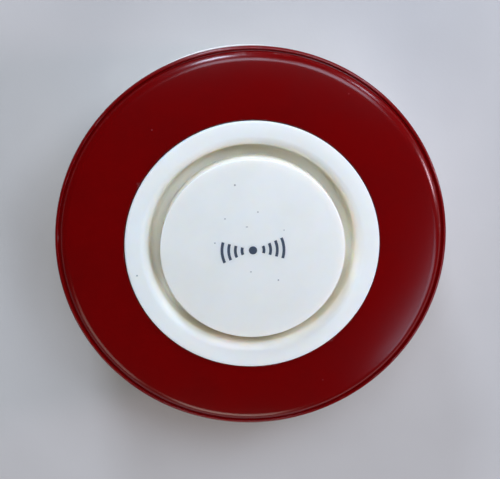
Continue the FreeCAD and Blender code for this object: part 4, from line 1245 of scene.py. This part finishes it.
@dataclass(frozen=True)
class Lamp:
    """A square soft lamp that faces the siren.

    Its bearing is counted from +X and its height from the floor. Its distance and side are in metres, and
    its power is in watts.
    """

    name: str
    bearing: float
    height: float
    side: float
    power: float
    colour: Colour
    distance: float = 0.95

    def hang(self) -> None:
        """Hang the lamp."""
        light = bpy.data.lights.new(self.name, "AREA")
        light.shape = "SQUARE"
        light.size = self.side
        light.energy = self.power
        light.color = self.colour.linear()[:3]
        lamp = bpy.data.objects.new(self.name, light)
        bearing, height = math.radians(self.bearing), math.radians(self.height)
        away = Vector((math.cos(bearing) * math.cos(height), math.sin(bearing) * math.cos(height),
                       math.sin(height)))
        lamp.location = away * self.distance
        lamp.rotation_mode = "QUATERNION"
        lamp.rotation_quaternion = away.to_track_quat("Z", "Y")
        bpy.context.scene.collection.objects.link(lamp)


@dataclass
class Studio:
    """The pale floor, the soft lights, the pale backdrop and the camera.

    floor_size is in metres. sky_strength lights the scene, and backdrop is what only the camera sees of it.
    """

    lamps: tuple[Lamp, ...] = (
        Lamp("window", 48, 50, 0.40, 4.1, Colour(220, 233, 255)),
        Lamp("high_window", 90, 56, 0.36, 3.3, Colour(222, 234, 255)),
        Lamp("far_window", 320, 38, 0.45, 2.3, Colour(214, 228, 255)),
        Lamp("lower_wall", 262, 24, 0.40, 2.2, Colour(250, 238, 226)),
        Lamp("left_wall", 225, 26, 0.40, 1.2, Colour(250, 238, 226)),
        Lamp("left_sill", 98, 20, 0.18, 5.6, Colour(216, 230, 255)),
        Lamp("right_sill", 40, 16, 0.14, 1.3, Colour(216, 230, 255)),
        Lamp("right_wall", 2, 14, 0.16, 2.8, Colour(255, 220, 235)),
        Lamp("under_light", 130, -60, 0.50, 3.0, Colour(236, 240, 255)),
        Lamp("under_fill", 300, -60, 0.50, 1.2, Colour(236, 240, 255)))
    floor_size: float = 1.8
    floor_drop: float = 0.1
    floor_card: Card = Card("studio_floor", Colour(192, 189, 183), Colour(187, 184, 178),
                            roughness=0.9, grain=900.0, relief=0.02)
    camera_place: Triple = (-6.698, 85.108, 329.55)
    camera_turns: Triple = (-15.719, -2.375, -4.142)
    camera_near: float = 10.0
    lens: float = 72.0
    sensor: float = 36.0
    sky: Colour = Colour(214, 220, 228)
    sky_strength: float = 0.02
    backdrop: float = 0.9

    def lay_floor(self) -> None:
        """Lay the floor under the siren."""
        part = bmesh.new()
        bmesh.ops.create_grid(part, x_segments=8, y_segments=8, size=self.floor_size / 2)
        mesh = bpy.data.meshes.new("floor")
        part.to_mesh(mesh)
        part.free()
        mesh.materials.append(self.floor_card.material)
        floor = bpy.data.objects.new("floor", mesh)
        floor.location.z = -self.floor_drop * MM
        bpy.context.scene.collection.objects.link(floor)

    def light(self) -> None:
        """Hang the lamps and set the even light and the backdrop round them."""
        world = bpy.data.worlds.new("soft_room")
        world.use_nodes = True
        world.node_tree.nodes.clear()
        wiring = Wiring(world.node_tree)
        seen = wiring.add("LightPath").outputs["Is Camera Ray"]
        strength = wiring.maths("MULTIPLY_ADD", seen, self.backdrop, self.sky_strength)
        sky = wiring.add("Background", {"Color": self.sky, "Strength": strength})
        wiring.add("OutputWorld", {"Surface": sky.outputs[0]})
        bpy.context.scene.world = world
        for lamp in self.lamps:
            lamp.hang()

    def place_camera(self) -> None:
        """Put the camera where the photograph was taken."""
        data = bpy.data.cameras.new("camera")
        data.lens = self.lens
        data.sensor_width = self.sensor
        data.clip_start = self.camera_near * MM
        camera = bpy.data.objects.new("camera", data)
        camera.location = Vector(self.camera_place) * MM
        camera.rotation_euler = [math.radians(turn) for turn in self.camera_turns]
        bpy.context.scene.collection.objects.link(camera)
        bpy.context.scene.camera = camera

    def build(self) -> None:
        """Lay the floor, hang the lamps and place the camera."""
        self.lay_floor()
        self.light()
        self.place_camera()
        bpy.context.scene.view_settings.view_transform = "Standard"


def corners(box: tuple[Vector, Vector]) -> list[list[float]]:
    """A box's two corners as plain lists."""
    return [[float(value) for value in corner] for corner in box]


def main() -> None:
    """Build the sub-assemblies in order."""
    logging.basicConfig(level=logging.INFO, format="%(message)s")
    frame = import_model()
    nodes = frame["nodes"]
    for part in (Studio(), FlashLens(), HornFront(), SoundMark()):
        part.build()
    for assembly in (WallMount, RearCase, PowerPack, Electronics, Sounder, BackControls):
        assembly(nodes).build()


if __name__ == "__main__":
    main()
